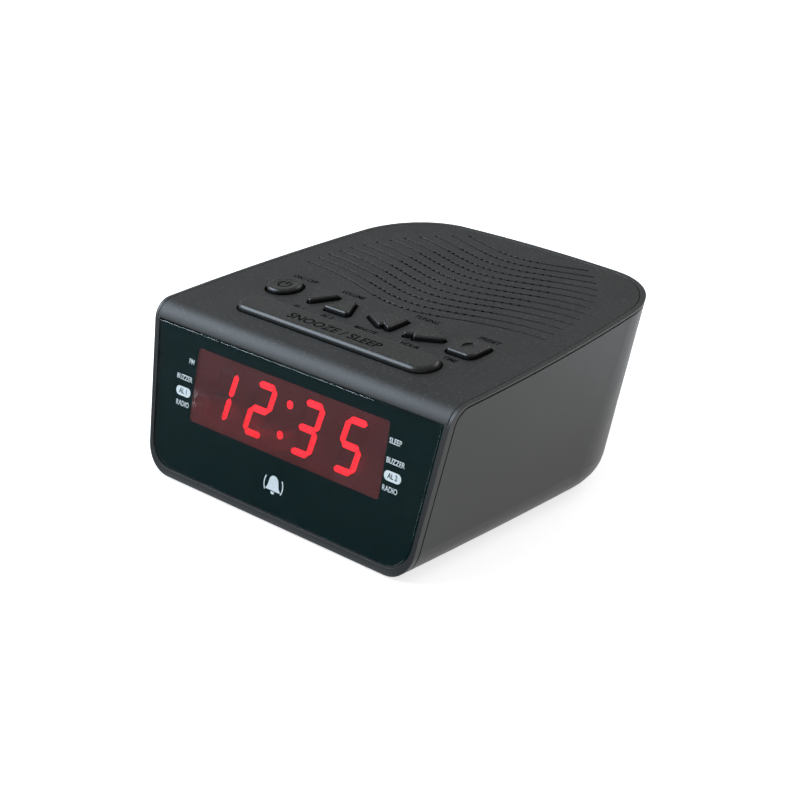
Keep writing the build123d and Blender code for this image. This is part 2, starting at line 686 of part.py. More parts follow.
def double_arrow(tip, base):
    """A key outline like two arrow heads that run into each other."""
    y = KEY_ROW_Y
    high = KEY_ROW_HALF
    step = math.copysign(ARROW_STEP, tip - base)
    neck = base + step
    notch = high * (1 - step / (tip - neck))
    face = make_face(Polyline(
        (tip, y), (neck, y - high), (neck, y - notch), (base, y - high),
        (base, y + high), (neck, y + notch), (neck, y + high), close=True,
    ))
    for side in (-1, 1):
        corner = face.vertices().sort_by_distance((neck, y + side * notch, 0))[0]
        face = fillet(corner, ARROW_NOTCH_R)
    for x, rise in ((tip, 0), (neck, -high), (neck, high), (base, -high), (base, high)):
        corner = face.vertices().sort_by_distance((x, y + rise, 0))[0]
        face = fillet(corner, ARROW_CORNER)
    return face


def key_outlines():
    """Each key's outline on the top plane, by name."""
    y = KEY_ROW_Y
    back = y + KEY_ROW_HALF
    front = y - KEY_ROW_HALF
    side = TRIANGLE_HALF
    preset = RectangleRounded(PRESET_WIDTH, 2 * KEY_ROW_HALF + PRESET_EXTRA, PRESET_CORNER)
    return {
        "snooze_bar": Pos(0, BAR_Y) * SlotOverall(BAR_LENGTH, BAR_WIDTH),
        "power_key": Pos(POWER_X, y) * Circle(POWER_R),
        "down_key": triangle([(DOWN_X - side, back), (DOWN_X + side, back), (DOWN_X, front)]),
        "up_key": triangle([(UP_X - side, front), (UP_X + side, front), (UP_X, back)]),
        "left_key": double_arrow(LEFT_TIP_X, LEFT_BASE_X),
        "right_key": double_arrow(RIGHT_TIP_X, RIGHT_BASE_X),
        "preset_key": Pos(PRESET_X, y) * preset,
    }


def stem_places():
    """Where each key presses its switch."""
    y = KEY_ROW_Y
    bar_y = BAR_Y + BAR_STEM_SHIFT
    left_x = LEFT_BASE_X - ARROW_STEM_INSET
    right_x = RIGHT_BASE_X + ARROW_STEM_INSET
    return {
        "snooze_bar": [(-BAR_SWITCH_X, bar_y), (BAR_SWITCH_X, bar_y)],
        "power_key": [(POWER_X, y)],
        "down_key": [(DOWN_X, y + TRIANGLE_STEM_SHIFT)],
        "up_key": [(UP_X, y - TRIANGLE_STEM_SHIFT)],
        "left_key": [(left_x, y)],
        "right_key": [(right_x, y)],
        "preset_key": [(PRESET_X, y)],
    }


def make_key(name, outline):
    """A key: cap through the panel, flange that keeps it in, and a stem on each switch."""
    proud = BAR_PROUD if name == "snooze_bar" else KEY_PROUD
    edge = {"snooze_bar": BAR_EDGE, "power_key": ROUND_KEY_EDGE}.get(name, KEY_EDGE)
    cap = Pos(0, 0, -FLANGE_TOP) * extrude(outline, proud + FLANGE_TOP)
    cap = fillet(cap.faces().sort_by(Axis.Z)[-1].edges(), edge)
    if name == "power_key":
        cap -= Pos(POWER_X, KEY_ROW_Y, proud + POWER_DISH_R - POWER_DISH_DEPTH) * Sphere(POWER_DISH_R)
    if name == "preset_key":
        cap -= Pos(PRESET_X, KEY_ROW_Y, proud) * Cylinder(PRESET_DIMPLE_R, 2 * PRESET_DIMPLE)
    reach = key_gap(name) + KEY_CATCH
    flange = extrude(offset(outline, reach, kind=Kind.ARC), -KEY_FLANGE)
    key = cap + Pos(0, 0, -FLANGE_TOP) * flange
    for x, y in stem_places()[name]:
        depth = FLANGE_TOP + KEY_FLANGE + STEM_LENGTH / 2
        key += Pos(x, y, -depth) * Cylinder(STEM_R, STEM_LENGTH)
    return TOP * key


def make_plungers(name):
    """The switch plungers under one key, which go down with it."""
    depth = STEM_END + PLUNGER_LENGTH / 2
    pins = [on_top(x, y, depth) * Cylinder(PLUNGER_R, PLUNGER_LENGTH) for x, y in stem_places()[name]]
    return Compound(children=[pin.solid() for pin in pins])


def make_switches():
    """Every switch body on the key board, each with a bore for its plunger."""
    bodies = []
    bore = PLUNGER_R + PLUNGER_CLEARANCE
    bore_depth = PLUNGER_IN + KEY_TRAVEL + SWITCH_BORE_SPARE
    for places in stem_places().values():
        for x, y in places:
            body = on_top(x, y, SWITCH_TOP + SWITCH_HEIGHT / 2) * Box(SWITCH_WIDTH, SWITCH_WIDTH, SWITCH_HEIGHT)
            body -= on_top(x, y, SWITCH_TOP) * Cylinder(bore, 2 * bore_depth)
            bodies.append(body.solid())
    return Compound(children=bodies)


def make_key_board():
    width = 2 * KEY_BOARD_HALF
    depth = KEY_BOARD_BACK - KEY_BOARD_FRONT
    place = on_top(0, (KEY_BOARD_FRONT + KEY_BOARD_BACK) / 2, KEY_BOARD_DEPTH + BOARD / 2)
    board = place * Box(width, depth, BOARD)
    for x, y in KEY_BOARD_POSTS:
        board -= on_top(x, y, KEY_BOARD_DEPTH) * Cylinder(SMALL_SCREW_R + SMALL_HOLE_PLAY, 4 * BOARD)
    return board


def small_screws(places, flip=False, sheet=BOARD):
    """Small pan-head screws through a sheet: each place is the face that its head sits on."""
    turn = Rot(180, 0, 0) if flip else Rot(0, 0, 0)
    length = sheet + SMALL_BITE - SMALL_SPARE
    made = [place * turn * screw(SMALL_SCREW_R, SMALL_HEAD_R, SMALL_HEAD, length) for place in places]
    return Compound(children=[item.solid() for item in made])


# ---------------------------------------------------------------- display
def make_lens():
    plate = extrude(lens_outline(), LENS)
    top_edges = plate.faces().sort_by(Axis.Z)[-1].edges()
    plate = chamfer(top_edges, LENS_EDGE)
    return FRONT * Pos(0, 0, LENS_PROUD - LENS) * plate


def segment(start, end):
    """One bar of a digit between two corners of its figure: pointed ends, leaning with the digit."""
    length = math.dist(start, end)
    along = ((end[0] - start[0]) / length, (end[1] - start[1]) / length)
    half = DIGIT_STROKE / 2
    near = SEGMENT_TIP_GAP
    far = length - SEGMENT_TIP_GAP
    corners = [
        (near, 0), (near + half, half), (far - half, half),
        (far, 0), (far - half, -half), (near + half, -half),
    ]
    points = []
    for u, v in corners:
        x = start[0] + u * along[0] - v * along[1]
        y = start[1] + u * along[1] + v * along[0]
        points.append(slanted(x, y))
    face = make_face(Polyline(*points, close=True))
    return fillet(face.vertices(), SEGMENT_EDGE)


def digit_segments():
    """The seven bars of a digit by letter, about the digit's middle."""
    w = DIGIT_WIDTH / 2
    h = DIGIT_HEIGHT / 2
    return {
        "a": segment((-w, h), (w, h)),
        "b": segment((w, 0), (w, h)),
        "c": segment((w, -h), (w, 0)),
        "d": segment((-w, -h), (w, -h)),
        "e": segment((-w, -h), (-w, 0)),
        "f": segment((-w, 0), (-w, h)),
        "g": segment((-w, 0), (w, 0)),
    }


def slanted(x, y):
    """Where an upright point of the display goes when the digits lean."""
    return (x + y * math.tan(math.radians(DIGIT_SLANT)), y)


def make_segments():
    """Lit and dark segments of the reading 12:35, raised a little from the module's face."""
    lit_by_digit = ["bc", "abged", "abgcd", "afgcd"]
    lit = []
    dark = []
    for centre, letters in zip(DIGIT_CENTRES, lit_by_digit):
        for letter, bar in digit_segments().items():
            solid = extrude(Pos(centre, 0) * bar, SEGMENT_HEIGHT)
            (lit if letter in letters else dark).append(solid)
    for side in (-1, 1):
        x, y = slanted(COLON_X, side * DIGIT_HEIGHT * COLON_SHARE)
        lit.append(extrude(Pos(x, y) * Circle(COLON_R), SEGMENT_HEIGHT))
    place = on_front(WINDOW_X, WINDOW_MID, MODULE_FRONT)
    return [Compound(children=[(place * s).solid() for s in group]) for group in (lit, dark)]


def display_screw_places(depth):
    """Where the display board is screwed to the frame, at a depth behind the front plane."""
    reach = DISPLAY_BOARD_HALF - DISPLAY_SCREW_INSET
    return [
        on_front(WINDOW_X + side * reach, DISPLAY_BOARD_LOW + DISPLAY_SCREW_RISE, depth)
        for side in (-1, 1)
    ]


def make_display_board():
    middle = (DISPLAY_BOARD_LOW + DISPLAY_BOARD_HIGH) / 2
    place = on_front(WINDOW_X, middle, DISPLAY_BOARD_DEPTH + BOARD / 2)
    board = place * Box(2 * DISPLAY_BOARD_HALF, DISPLAY_BOARD_HIGH - DISPLAY_BOARD_LOW, BOARD)
    for place in display_screw_places(DISPLAY_BOARD_DEPTH):
        board -= place * Cylinder(SMALL_SCREW_R + SMALL_HOLE_PLAY, 4 * BOARD)
    return board


def display_posts():
    """Two pegs on the frame's web that carry the display board."""
    pegs = []
    length = DISPLAY_BOARD_DEPTH - WEB_DEPTH + PEG_ROOT
    for place in display_screw_places(DISPLAY_BOARD_DEPTH):
        peg = place * Pos(0, 0, length / 2) * Cylinder(POST_R, length)
        peg -= place * Cylinder(SMALL_SCREW_R, 2 * SMALL_BITE)
        pegs.append(peg)
    return pegs


# ---------------------------------------------------------------- loudspeaker
def speaker_screw_places():
    """Where the loudspeaker's flange is held."""
    reach = SPEAKER_SCREW_RING / math.sqrt(2)
    return [(sx * reach, SPEAKER_Y + sy * reach) for sx in (-1, 1) for sy in (-1, 1)]


def make_speaker():
    """The loudspeaker's frame, cone, dust cap and magnet, front upwards under the panel."""
    back = -SPEAKER_DEPTH
    rim = SPEAKER_CONE_R + CONE_PLAY
    frame = turned([
        (rim, 0), (SPEAKER_R, 0), (SPEAKER_R, -SPEAKER_FLANGE),
        (rim + SPEAKER_SHEET, -SPEAKER_FLANGE), (SPEAKER_NECK_R, back), (0, back),
        (0, back + SPEAKER_SHEET), (SPEAKER_NECK_R - CONE_PLAY, back + SPEAKER_SHEET),
        (rim, -SPEAKER_FLANGE),
    ])
    middle = Pos(SPEAKER_NECK_R + BASKET_WINDOW_REACH, 0, back / 2 - CONE_PLAY)
    for turn in (45, 135, 225, 315):
        frame -= Rot(0, 0, turn) * middle * Box(*BASKET_WINDOW)
    neck = back + CONE_NECK_RISE
    outer = SPEAKER_CONE_R + CONE_LIP
    crest = SPEAKER_CONE_R - ROLL_HALF
    valley = crest - ROLL_HALF
    cone = turned([
        (CONE_NECK_R, neck), (CONE_NECK_R, neck + CONE_SHEET), (valley, -ROLL_VALLEY),
        (crest, -ROLL_CREST), (outer, -ROLL_EDGE), (outer, -ROLL_EDGE - CONE_SHEET),
        (crest, -ROLL_CREST - CONE_SHEET), (valley + CONE_SHEET, -ROLL_VALLEY - CONE_SHEET),
    ])
    cap = turned([
        (0, back + DUST_CROWN + CONE_SHEET), (DUST_SHOULDER_R, back + DUST_SHOULDER + CONE_SHEET),
        (DUST_CAP_R, back + DUST_EDGE + CONE_SHEET), (DUST_CAP_R, back + DUST_EDGE),
        (DUST_SHOULDER_R, back + DUST_SHOULDER), (0, back + DUST_CROWN),
    ])
    magnet = Pos(0, 0, back - MAGNET_DEPTH / 2) * Cylinder(MAGNET_R, MAGNET_DEPTH)
    magnet = chamfer(magnet.edges(), MAGNET_EDGE)
    place = on_top(0, SPEAKER_Y, PANEL)
    return place * frame, place * cone, place * cap, place * magnet


def make_speaker_screws():
    """Four screws with broad washers that hold the loudspeaker's flange to the panel."""
    made = []
    for x, y in speaker_screw_places():
        washer = Pos(0, 0, -SPEAKER_WASHER / 2) * Cylinder(SPEAKER_WASHER_R, SPEAKER_WASHER)
        length = SPEAKER_WASHER + SPEAKER_BITE
        item = Pos(0, 0, -SPEAKER_WASHER) * screw(SMALL_SCREW_R, SMALL_HEAD_R, SMALL_HEAD, length)
        made.append(on_top(x, y, PANEL + SPEAKER_FLANGE) * (washer + item))
    return made


# ---------------------------------------------------------------- inside
def make_main_board():
    width = MAIN_X1 - MAIN_X0
    depth = MAIN_Y1 - MAIN_Y0
    middle = floor_point((MAIN_X0 + MAIN_X1) / 2, (MAIN_Y0 + MAIN_Y1) / 2, MAIN_Z + BOARD / 2)
    board = middle * Box(width, depth, BOARD)
    for x, y in main_board_places():
        board -= floor_point(x, y, MAIN_Z) * Cylinder(SMALL_SCREW_R + SMALL_HOLE_PLAY, 4 * BOARD)
    return board


def on_main(x, y, size):
    """A rectangular part standing on the main board; x and y are from its front left corner."""
    place = floor_point(MAIN_X0 + x, MAIN_Y0 + y, MAIN_TOP + size[2] / 2)
    return place * Box(*size)


def make_main_parts():
    """Chips, capacitors and tuner cans on the main board."""
    chips = [on_main(x, y, size) for x, y, size in CHIPS]
    capacitors = []
    for x, y, radius, height in CAPACITORS:
        can = floor_point(MAIN_X0 + x, MAIN_Y0 + y, MAIN_TOP + height / 2) * Cylinder(radius, height)
        capacitors.append(fillet(can.edges().sort_by(Axis.Z)[-1], CAPACITOR_ROUND))
    cans = [on_main(x, y, size) for x, y, size in CANS]
    return chips, capacitors, cans


def make_aerial():
    """A ferrite rod in two holders, with its coil."""
    y = MAIN_Y0 + ROD_Y
    z = MAIN_TOP + ROD_LIFT
    middle = (MAIN_X0 + MAIN_X1) / 2
    rod = floor_point(middle, y, z) * Rot(0, 90, 0) * Cylinder(ROD_R, ROD_LENGTH)
    winding = Cylinder(COIL_R, COIL_LENGTH) - Cylinder(ROD_R, COIL_LENGTH)
    coil = floor_point(middle + COIL_SHIFT, y, z) * Rot(0, 90, 0) * winding
    holders = []
    for side in (-1, 1):
        x = middle + side * HOLDER_REACH
        holder = floor_point(x, y, MAIN_TOP + HOLDER[2] / 2) * Box(*HOLDER)
        holder -= floor_point(x, y, z) * Rot(0, 90, 0) * Cylinder(ROD_R, 2 * HOLDER[0])
        holders.append(holder)
    return rod, coil, holders


def make_transformer():
    """A small frame transformer: laminated core, bobbin with its winding, and two ears."""
    base = Z_BOTTOM + TRANSFORMER_LIFT
    place = floor_point(TRANSFORMER_X, TRANSFORMER_Y, base + EAR)
    length = TRANSFORMER_LENGTH
    height = TRANSFORMER_HEIGHT
    core = Pos(0, 0, height / 2) * Box(CORE_STACK, length, height)
    room_y = (length - 3 * CORE_LIMB) / 2
    room_z = height - 2 * CORE_LIMB
    for side in (-1, 1):
        y = side * (CORE_LIMB / 2 + room_y / 2)
        core -= Pos(0, y, height / 2) * Box(2 * CORE_STACK, room_y, room_z)
    winding_y = CORE_LIMB + 2 * (room_y - WINDING_PLAY)
    winding = Box(TRANSFORMER_WIDTH, winding_y, room_z - 2 * WINDING_PLAY)
    winding = fillet(winding.edges().filter_by(Axis.Z), WINDING_ROUND)
    winding -= Box(CORE_STACK + WINDING_PLAY, CORE_LIMB + WINDING_PLAY, height)
    bobbin = Pos(0, 0, height / 2) * winding
    ears = Pos(0, 0, -EAR / 2) * Box(CORE_STACK, length + 2 * EAR_REACH, EAR)
    for side in (-1, 1):
        hole = Cylinder(SMALL_SCREW_R + SMALL_HOLE_PLAY, 4 * EAR)
        ears -= Pos(0, side * (length / 2 + EAR_HOLE_REACH), 0) * hole
    return place * core, place * bobbin, place * ears


def make_ribbons():
    """Flat leads: display board to main board, and key board to main board."""
    side_view = Plane(origin=(0, Y_FRONT, 0), x_dir=(0, 1, 0), z_dir=(1, 0, 0))
    lift = RIBBON / 2 + RIBBON_GAP
    rise = WINDOW_MID - DISPLAY_RIBBON_DROP
    start = on_front(0, rise, DISPLAY_BOARD_DEPTH + BOARD + lift).position
    y = start.Y - Y_FRONT
    board_z = MAIN_TOP + lift
    path = FilletPolyline(
        (y, start.Z), (y + DISPLAY_RIBBON_RUN, start.Z),
        (y + DISPLAY_RIBBON_RUN + DISPLAY_RIBBON_SLOPE, board_z),
        (MAIN_Y0 + RIBBON_LANDING, board_z), radius=DISPLAY_RIBBON_ROUND,
    )
    strip = side_view * Pos(0, 0, DISPLAY_RIBBON_X) * trace(path, line_width=RIBBON)
    display = extrude(strip, DISPLAY_RIBBON_WIDTH)
    start = on_top(0, KEY_RIBBON_Y, KEY_BOARD_DEPTH + BOARD + lift).position
    y = start.Y - Y_FRONT
    path = FilletPolyline(
        (y, start.Z), (y, start.Z - KEY_RIBBON_RUN),
        (y - KEY_RIBBON_SWAY, board_z + KEY_RIBBON_RISE),
        (y + 2 * KEY_RIBBON_SWAY, board_z), radius=KEY_RIBBON_ROUND,
    )
    strip = side_view * Pos(0, 0, KEY_RIBBON_X) * trace(path, line_width=RIBBON)
    return display, extrude(strip, KEY_RIBBON_WIDTH)


def make_door():
    """The battery door: a plate with two hinge pins at its front edge and grip grooves."""
    length = BAY_LENGTH + 2 * DOOR_RIM - 2 * DOOR_GAP
    width = BAY_WIDTH + 2 * DOOR_RIM - 2 * DOOR_GAP
    thick = DOOR - DOOR_PLAY
    mid_z = Z_BOTTOM + thick / 2
    plate = floor_point(BAY_X, BAY_Y, mid_z) * Box(length, width, thick)
    hinge_side = BAY_Y - width / 2
    plate -= floor_point(BAY_X, hinge_side, mid_z) * Box(2 * length, 2 * HINGE_R, 2 * thick)
    along = door_axis_place() * Rot(0, 90, 0)
    arm = floor_point(BAY_X, hinge_side + HINGE_ARM * HINGE_R, mid_z) * Box(length, HINGE_R, HINGE_R)
    pin_length = length + 2 * HINGE_PIN + 2 * DOOR_GAP - HINGE_PIN_SPARE
    door = plate + arm + along * Cylinder(HINGE_R, length) + along * Cylinder(HINGE_R, pin_length)
    for i in range(GRIP_RIBS):
        y = BAY_Y + BAY_WIDTH / 2 - GRIP_INSET - GRIP_PITCH * i
        door -= floor_point(BAY_X, y, Z_BOTTOM) * Box(*GRIP_CUT)
    return door


def make_battery_metal():
    """Contact plates and springs for two cells lying side by side."""
    plates = []
    springs = []
    end = BAY_LENGTH / 2
    width = BAY_WIDTH / 2 - CONTACT_INSET
    mid_z = Z_BOTTOM + DOOR + (BAY_HEIGHT - DOOR) / 2
    for side in (-1, 1):
        for row in (-1, 1):
            y = BAY_Y + row * BAY_WIDTH / 4
            place = floor_point(BAY_X + side * (end - CONTACT / 2), y, mid_z)
            plates.append(place * Box(CONTACT, width, CONTACT_HEIGHT))
        root = end - CONTACT - SPRING_SINK - SPRING_WIRE_R
        start = floor_point(BAY_X + side * root, BAY_Y + side * BAY_WIDTH / 4, mid_z)
        wire = Helix(pitch=SPRING_PITCH, height=SPRING_LENGTH, radius=SPRING_R, direction=(-side, 0, 0))
        section = Plane(origin=wire @ 0, z_dir=wire % 0) * Circle(SPRING_WIRE_R)
        springs.append(start * sweep(section, path=wire))
    return plates, springs


def make_grommet():
    """A rubber bush in the back wall, for the mains lead."""
    wide = GROMMET_R + GROMMET_LIP
    snug = GROMMET_R - GROMMET_SQUEEZE
    outside = WALL / 2 + GROMMET_LIP
    bush = turned([
        (GROMMET_BORE, -outside - GROMMET_INNER), (wide, -outside - GROMMET_INNER), (wide, -outside),
        (snug, -outside), (snug, outside), (wide, outside),
        (wide - GROMMET_TAPER, outside + GROMMET_FLANGE), (GROMMET_BORE, outside + GROMMET_FLANGE),
    ])
    return grommet_place() * bush


def make_feet():
    """Four round rubber pads set into the bottom."""
    pads = []
    for place in FOOT_PLACES:
        height = FOOT_HEIGHT + FOOT_SINK
        pad = floor_point(*place, height / 2) * Cylinder(FOOT_R, height)
        pads.append(chamfer(pad.edges().sort_by(Axis.Z)[0], FOOT_EDGE))
    return pads


def make_case_screws():
    """Four long screws up through the columns into the top panel's bosses."""
    made = []
    for place in COLUMN_PLACES:
        seat = Z_BOTTOM + HEAD_SINK
        length = column_height(place) + SCREW_BITE - seat
        item = floor_point(*place, seat) * screw(SCREW_R, SCREW_HEAD_R, SCREW_HEAD, length)
        made.append(item)
    return made


def group(items):
    """Several separate solids as one node."""
    return Compound(children=[solid for item in items for solid in item.solids()])


def main():
    rim = make_rim()
    for peg in display_posts():
        rim += peg
    lit, dark = make_segments()
    frame, cone, cap, magnet = make_speaker()
    chips, capacitors, cans = make_main_parts()
    rod, coil, holders = make_aerial()
    core, bobbin, ears = make_transformer()
    display_ribbon, key_ribbon = make_ribbons()
    plates, springs = make_battery_metal()
    nodes = {
        "cabinet_shell": make_shell(),
        "rim_frame": rim,
        "top_panel": make_panel(),
        "display_lens": make_lens(),
        "red_filter": window_box(0, LENS - LENS_PROUD, LENS - LENS_PROUD + FILTER),
        "led_module": window_box(0, MODULE_FRONT, DISPLAY_BOARD_DEPTH),
        "lit_segments": lit,
        "dark_segments": dark,
        "display_board": make_display_board(),
        "display_board_screws": small_screws(
            display_screw_places(DISPLAY_BOARD_DEPTH + BOARD)
        ),
        "key_board": make_key_board(),
        "key_board_screws": small_screws(
            [on_top(x, y, KEY_BOARD_DEPTH + BOARD) for x, y in KEY_BOARD_POSTS]
        ),
        "tact_switches": make_switches(),
        "speaker_frame": frame,
        "speaker_cone": cone,
        "speaker_dust_cap": cap,
        "speaker_magnet": magnet,
        "speaker_screws": group(make_speaker_screws()),
        "main_board": make_main_board(),
        "main_board_screws": small_screws(
            [floor_point(x, y, MAIN_TOP) for x, y in main_board_places()], flip=True
        ),
        "chips": group(chips),
        "capacitors": group(capacitors),
        "tuner_cans": group(cans),
        "ferrite_rod": rod,
        "aerial_coil": coil,
        "rod_holders": group(holders),
        "transformer_core": core,
        "transformer_winding": bobbin,
        "transformer_ears": ears,
        "transformer_screws": small_screws(
            [floor_point(x, y, Z_BOTTOM + TRANSFORMER_LIFT + EAR) for x, y in transformer_places()],
            flip=True, sheet=EAR,
        ),
        "display_ribbon": display_ribbon,
        "key_ribbon": key_ribbon,
        "battery_contacts": group(plates),
        "battery_springs": group(springs),
        "battery_door": make_door(),
        "cord_grommet": make_grommet(),
        "rubber_feet": group(make_feet()),
        "case_screws": group(make_case_screws()),
    }
    for name, outline in key_outlines().items():
        nodes[name] = make_key(name, outline)
        nodes[name.replace("_key", "").replace("_bar", "") + "_plunger"] = make_plungers(name)
    for name, shape in nodes.items():
        save(name, shape)


main()
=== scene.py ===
# %% [markdown]
# A bedside clock radio, dressed in Blender around its CAD model. The case is two black
# mouldings and a grille panel, with a glossy printed lens in front of a red LED display.
# The CAD model gives every shape that fits or moves, so it is loaded first and never moved.
# This lesson adds what CAD leaves out: the ink behind the lens, the lettering, and the finishes.

# %% Load the frame
import json
import math

import bmesh
import bpy
from mathutils import Matrix, Vector


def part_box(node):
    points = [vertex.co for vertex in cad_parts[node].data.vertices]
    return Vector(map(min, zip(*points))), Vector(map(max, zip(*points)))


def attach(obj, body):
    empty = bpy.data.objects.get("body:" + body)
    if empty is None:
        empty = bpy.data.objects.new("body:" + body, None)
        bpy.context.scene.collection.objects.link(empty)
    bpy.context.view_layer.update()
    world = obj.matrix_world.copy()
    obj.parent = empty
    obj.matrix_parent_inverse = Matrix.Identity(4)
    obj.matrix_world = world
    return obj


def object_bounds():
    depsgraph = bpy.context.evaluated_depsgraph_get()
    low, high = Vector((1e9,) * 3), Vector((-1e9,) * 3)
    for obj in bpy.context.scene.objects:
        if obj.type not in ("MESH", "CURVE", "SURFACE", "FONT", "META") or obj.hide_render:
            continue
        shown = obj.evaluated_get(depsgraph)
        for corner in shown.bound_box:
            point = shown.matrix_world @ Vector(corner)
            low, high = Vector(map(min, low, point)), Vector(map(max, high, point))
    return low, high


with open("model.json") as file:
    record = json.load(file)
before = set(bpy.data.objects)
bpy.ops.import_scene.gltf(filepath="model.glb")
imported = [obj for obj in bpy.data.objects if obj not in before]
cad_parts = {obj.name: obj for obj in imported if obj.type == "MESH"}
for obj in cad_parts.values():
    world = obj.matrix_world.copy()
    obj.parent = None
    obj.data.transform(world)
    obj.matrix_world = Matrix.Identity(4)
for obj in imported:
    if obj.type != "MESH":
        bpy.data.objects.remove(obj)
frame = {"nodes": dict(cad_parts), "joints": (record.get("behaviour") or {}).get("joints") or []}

MM = 0.001
cad_low, cad_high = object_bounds()
centre = (cad_low + cad_high) / 2
nodes = frame["nodes"]
print("CAD box in mm:", [round(v / MM, 2) for v in (*cad_low, *cad_high)], "nodes:", len(nodes))

# %% [markdown]
# Two flat faces carry almost everything that is drawn on this radio: the lens, which leans
# back, and the top, which rises a little to the rear. Both planes can be measured on the CAD
# pieces themselves. The direction that most of a piece's area faces is its flat face, so the
# lettering follows the model if its lean is ever changed.

# %% Measure the two working planes
FACING_SHARE = 0.7


def face_direction(node, towards):
    """The direction that most of a node's area faces, among those that look towards a vector."""
    areas = {}
    for face in nodes[node].data.polygons:
        if face.normal.dot(towards) > FACING_SHARE:
            key = tuple(round(c, 3) for c in face.normal)
            areas[key] = areas.get(key, 0) + face.area
    return Vector(max(areas, key=areas.get)).normalized()


def working_plane(node, towards):
    """A matrix on a node's flat face: x to the right, y up the face, z out of it, at its low edge."""
    out = face_direction(node, towards)
    right = Vector((1, 0, 0))
    up = out.cross(right)
    points = [v.co for v in nodes[node].data.vertices]
    low_edge = min(p.dot(up) for p in points)
    surface = max(p.dot(out) for p in points)
    turn = Matrix((right, up, out)).transposed().to_4x4()
    return Matrix.Translation(up * low_edge + out * surface) @ turn


LENS = working_plane("display_lens", Vector((0, -1, 0)))
BAR = working_plane("snooze_bar", Vector((0, 0, 1)))
press = Vector(next(j for j in frame["joints"] if j["name"] == "snooze_press")["axis"])
print("lens leans back by", round(math.degrees(math.asin(LENS.col[2].z)), 2), "degrees")
print("keys are pressed along", [round(c, 4) for c in press])

# %% [markdown]
# The camera stands to the right of the front, a little above the radio, with a long lens, as
# in a catalogue view. A long lens keeps the edges of a small object nearly parallel. The aim
# point lies forward and to the right of the middle, which sets where the radio is in the frame.

# %% Camera
AZIMUTH = math.radians(43.71)
ELEVATION = math.radians(23.12)
DISTANCE = 0.619
FOCAL = 88.93
CLIP_START = 0.01
AIM = centre + Vector((0.0195, -0.0261, 0.0067))

away = Vector((
    math.sin(AZIMUTH) * math.cos(ELEVATION),
    -math.cos(AZIMUTH) * math.cos(ELEVATION),
    math.sin(ELEVATION),
))
camera = bpy.data.objects.new("camera", bpy.data.cameras.new("camera"))
camera.data.lens = FOCAL
camera.data.clip_start = CLIP_START
camera.location = AIM + away * DISTANCE
camera.rotation_euler = (-away).to_track_quat("-Z", "Y").to_euler()
bpy.context.scene.collection.objects.link(camera)
bpy.context.scene.camera = camera
print("camera is at", [round(c, 3) for c in camera.location])

# %% [markdown]
# A matte black object shows its form by what it reflects, so the room has to be pale and
# plain all round. Walls could be modelled, but a world background is enough, since nothing of
# the room is seen. A ramp on the height of the view makes it lighter overhead and below than at
# the horizon, so a side of the case that looks sideways stays darker than the top.

# %% The sky
HORIZON_PLACE = 0.5


def colour_ramp_world(top, horizon, ground):
    """A plain sky: one grey overhead, another at the horizon and a third below it."""
    world = bpy.data.worlds.new("studio")
    bpy.context.scene.world = world
    world.use_nodes = True
    tree = world.node_tree
    background = tree.nodes["Background"]
    place = tree.nodes.new("ShaderNodeTexCoord")
    split = tree.nodes.new("ShaderNodeSeparateXYZ")
    ramp = tree.nodes.new("ShaderNodeValToRGB")
    shift = tree.nodes.new("ShaderNodeMapRange")
    shift.inputs["From Min"].default_value = -1
    tree.links.new(place.outputs["Generated"], split.inputs[0])
    tree.links.new(split.outputs["Z"], shift.inputs["Value"])
    tree.links.new(shift.outputs["Result"], ramp.inputs["Fac"])
    tree.links.new(ramp.outputs["Color"], background.inputs["Color"])
    ramp.color_ramp.elements[0].color = (*ground, 1)
    ramp.color_ramp.elements[1].color = (*top, 1)
    middle = ramp.color_ramp.elements.new(HORIZON_PLACE)
    middle.color = (*horizon, 1)


colour_ramp_world(top=(0.42, 0.42, 0.42), horizon=(0.27, 0.27, 0.27), ground=(0.4, 0.4, 0.4))
bpy.context.scene.view_settings.view_transform = "Standard"
print("sky:", bpy.context.scene.world.name)

# %% [markdown]
# The light has to be soft, or the gloss of the plastic would show hard spots. Area lights act
# as soft boxes. A large cool one at the front left puts the pale band on the rounded brow
# between the front and the top, and a smaller white one behind lights the back edge.

# %% Soft boxes
def soft_box(name, position, size, power, colour):
    """A rectangular light that looks at the radio; its position is taken from the middle."""
    light = bpy.data.lights.new(name, "AREA")
    light.shape = "RECTANGLE"
    light.size, light.size_y = size
    light.energy = power
    light.color = colour
    lamp = bpy.data.objects.new(name, light)
    lamp.location = centre + Vector(position)
    lamp.rotation_euler = (centre - lamp.location).to_track_quat("-Z", "Y").to_euler()
    bpy.context.scene.collection.objects.link(lamp)
    print("soft box:", name, "of", power, "W")


soft_box("key_box", position=(-0.66, -0.46, 0.60), size=(0.95, 0.62), power=12.0,
         colour=(0.74, 0.87, 1.0))
soft_box("back_box", position=(0.20, 0.85, 0.65), size=(0.9, 0.4), power=2.0,
         colour=(1.0, 1.0, 1.0))

# %% [markdown]
# A finish is more than a colour. Moulded plastic has a fine grain from the tool, slow patches
# where it cooled, edges that handling has polished, and a little dust on what faces up. Each
# of these is an effect that many finishes share, so each is made once as a node group with
# named inputs, and every finish sets its own amounts. These small tools shorten the wiring.

# %% Tools for node groups
def wire(tree, source, target):
    """Links one socket to another."""
    tree.links.new(source, target)


def add(tree, kind, **settings):
    """A node with its properties set by name."""
    node = tree.nodes.new("ShaderNode" + kind)
    for key, value in settings.items():
        setattr(node, key, value)
    return node


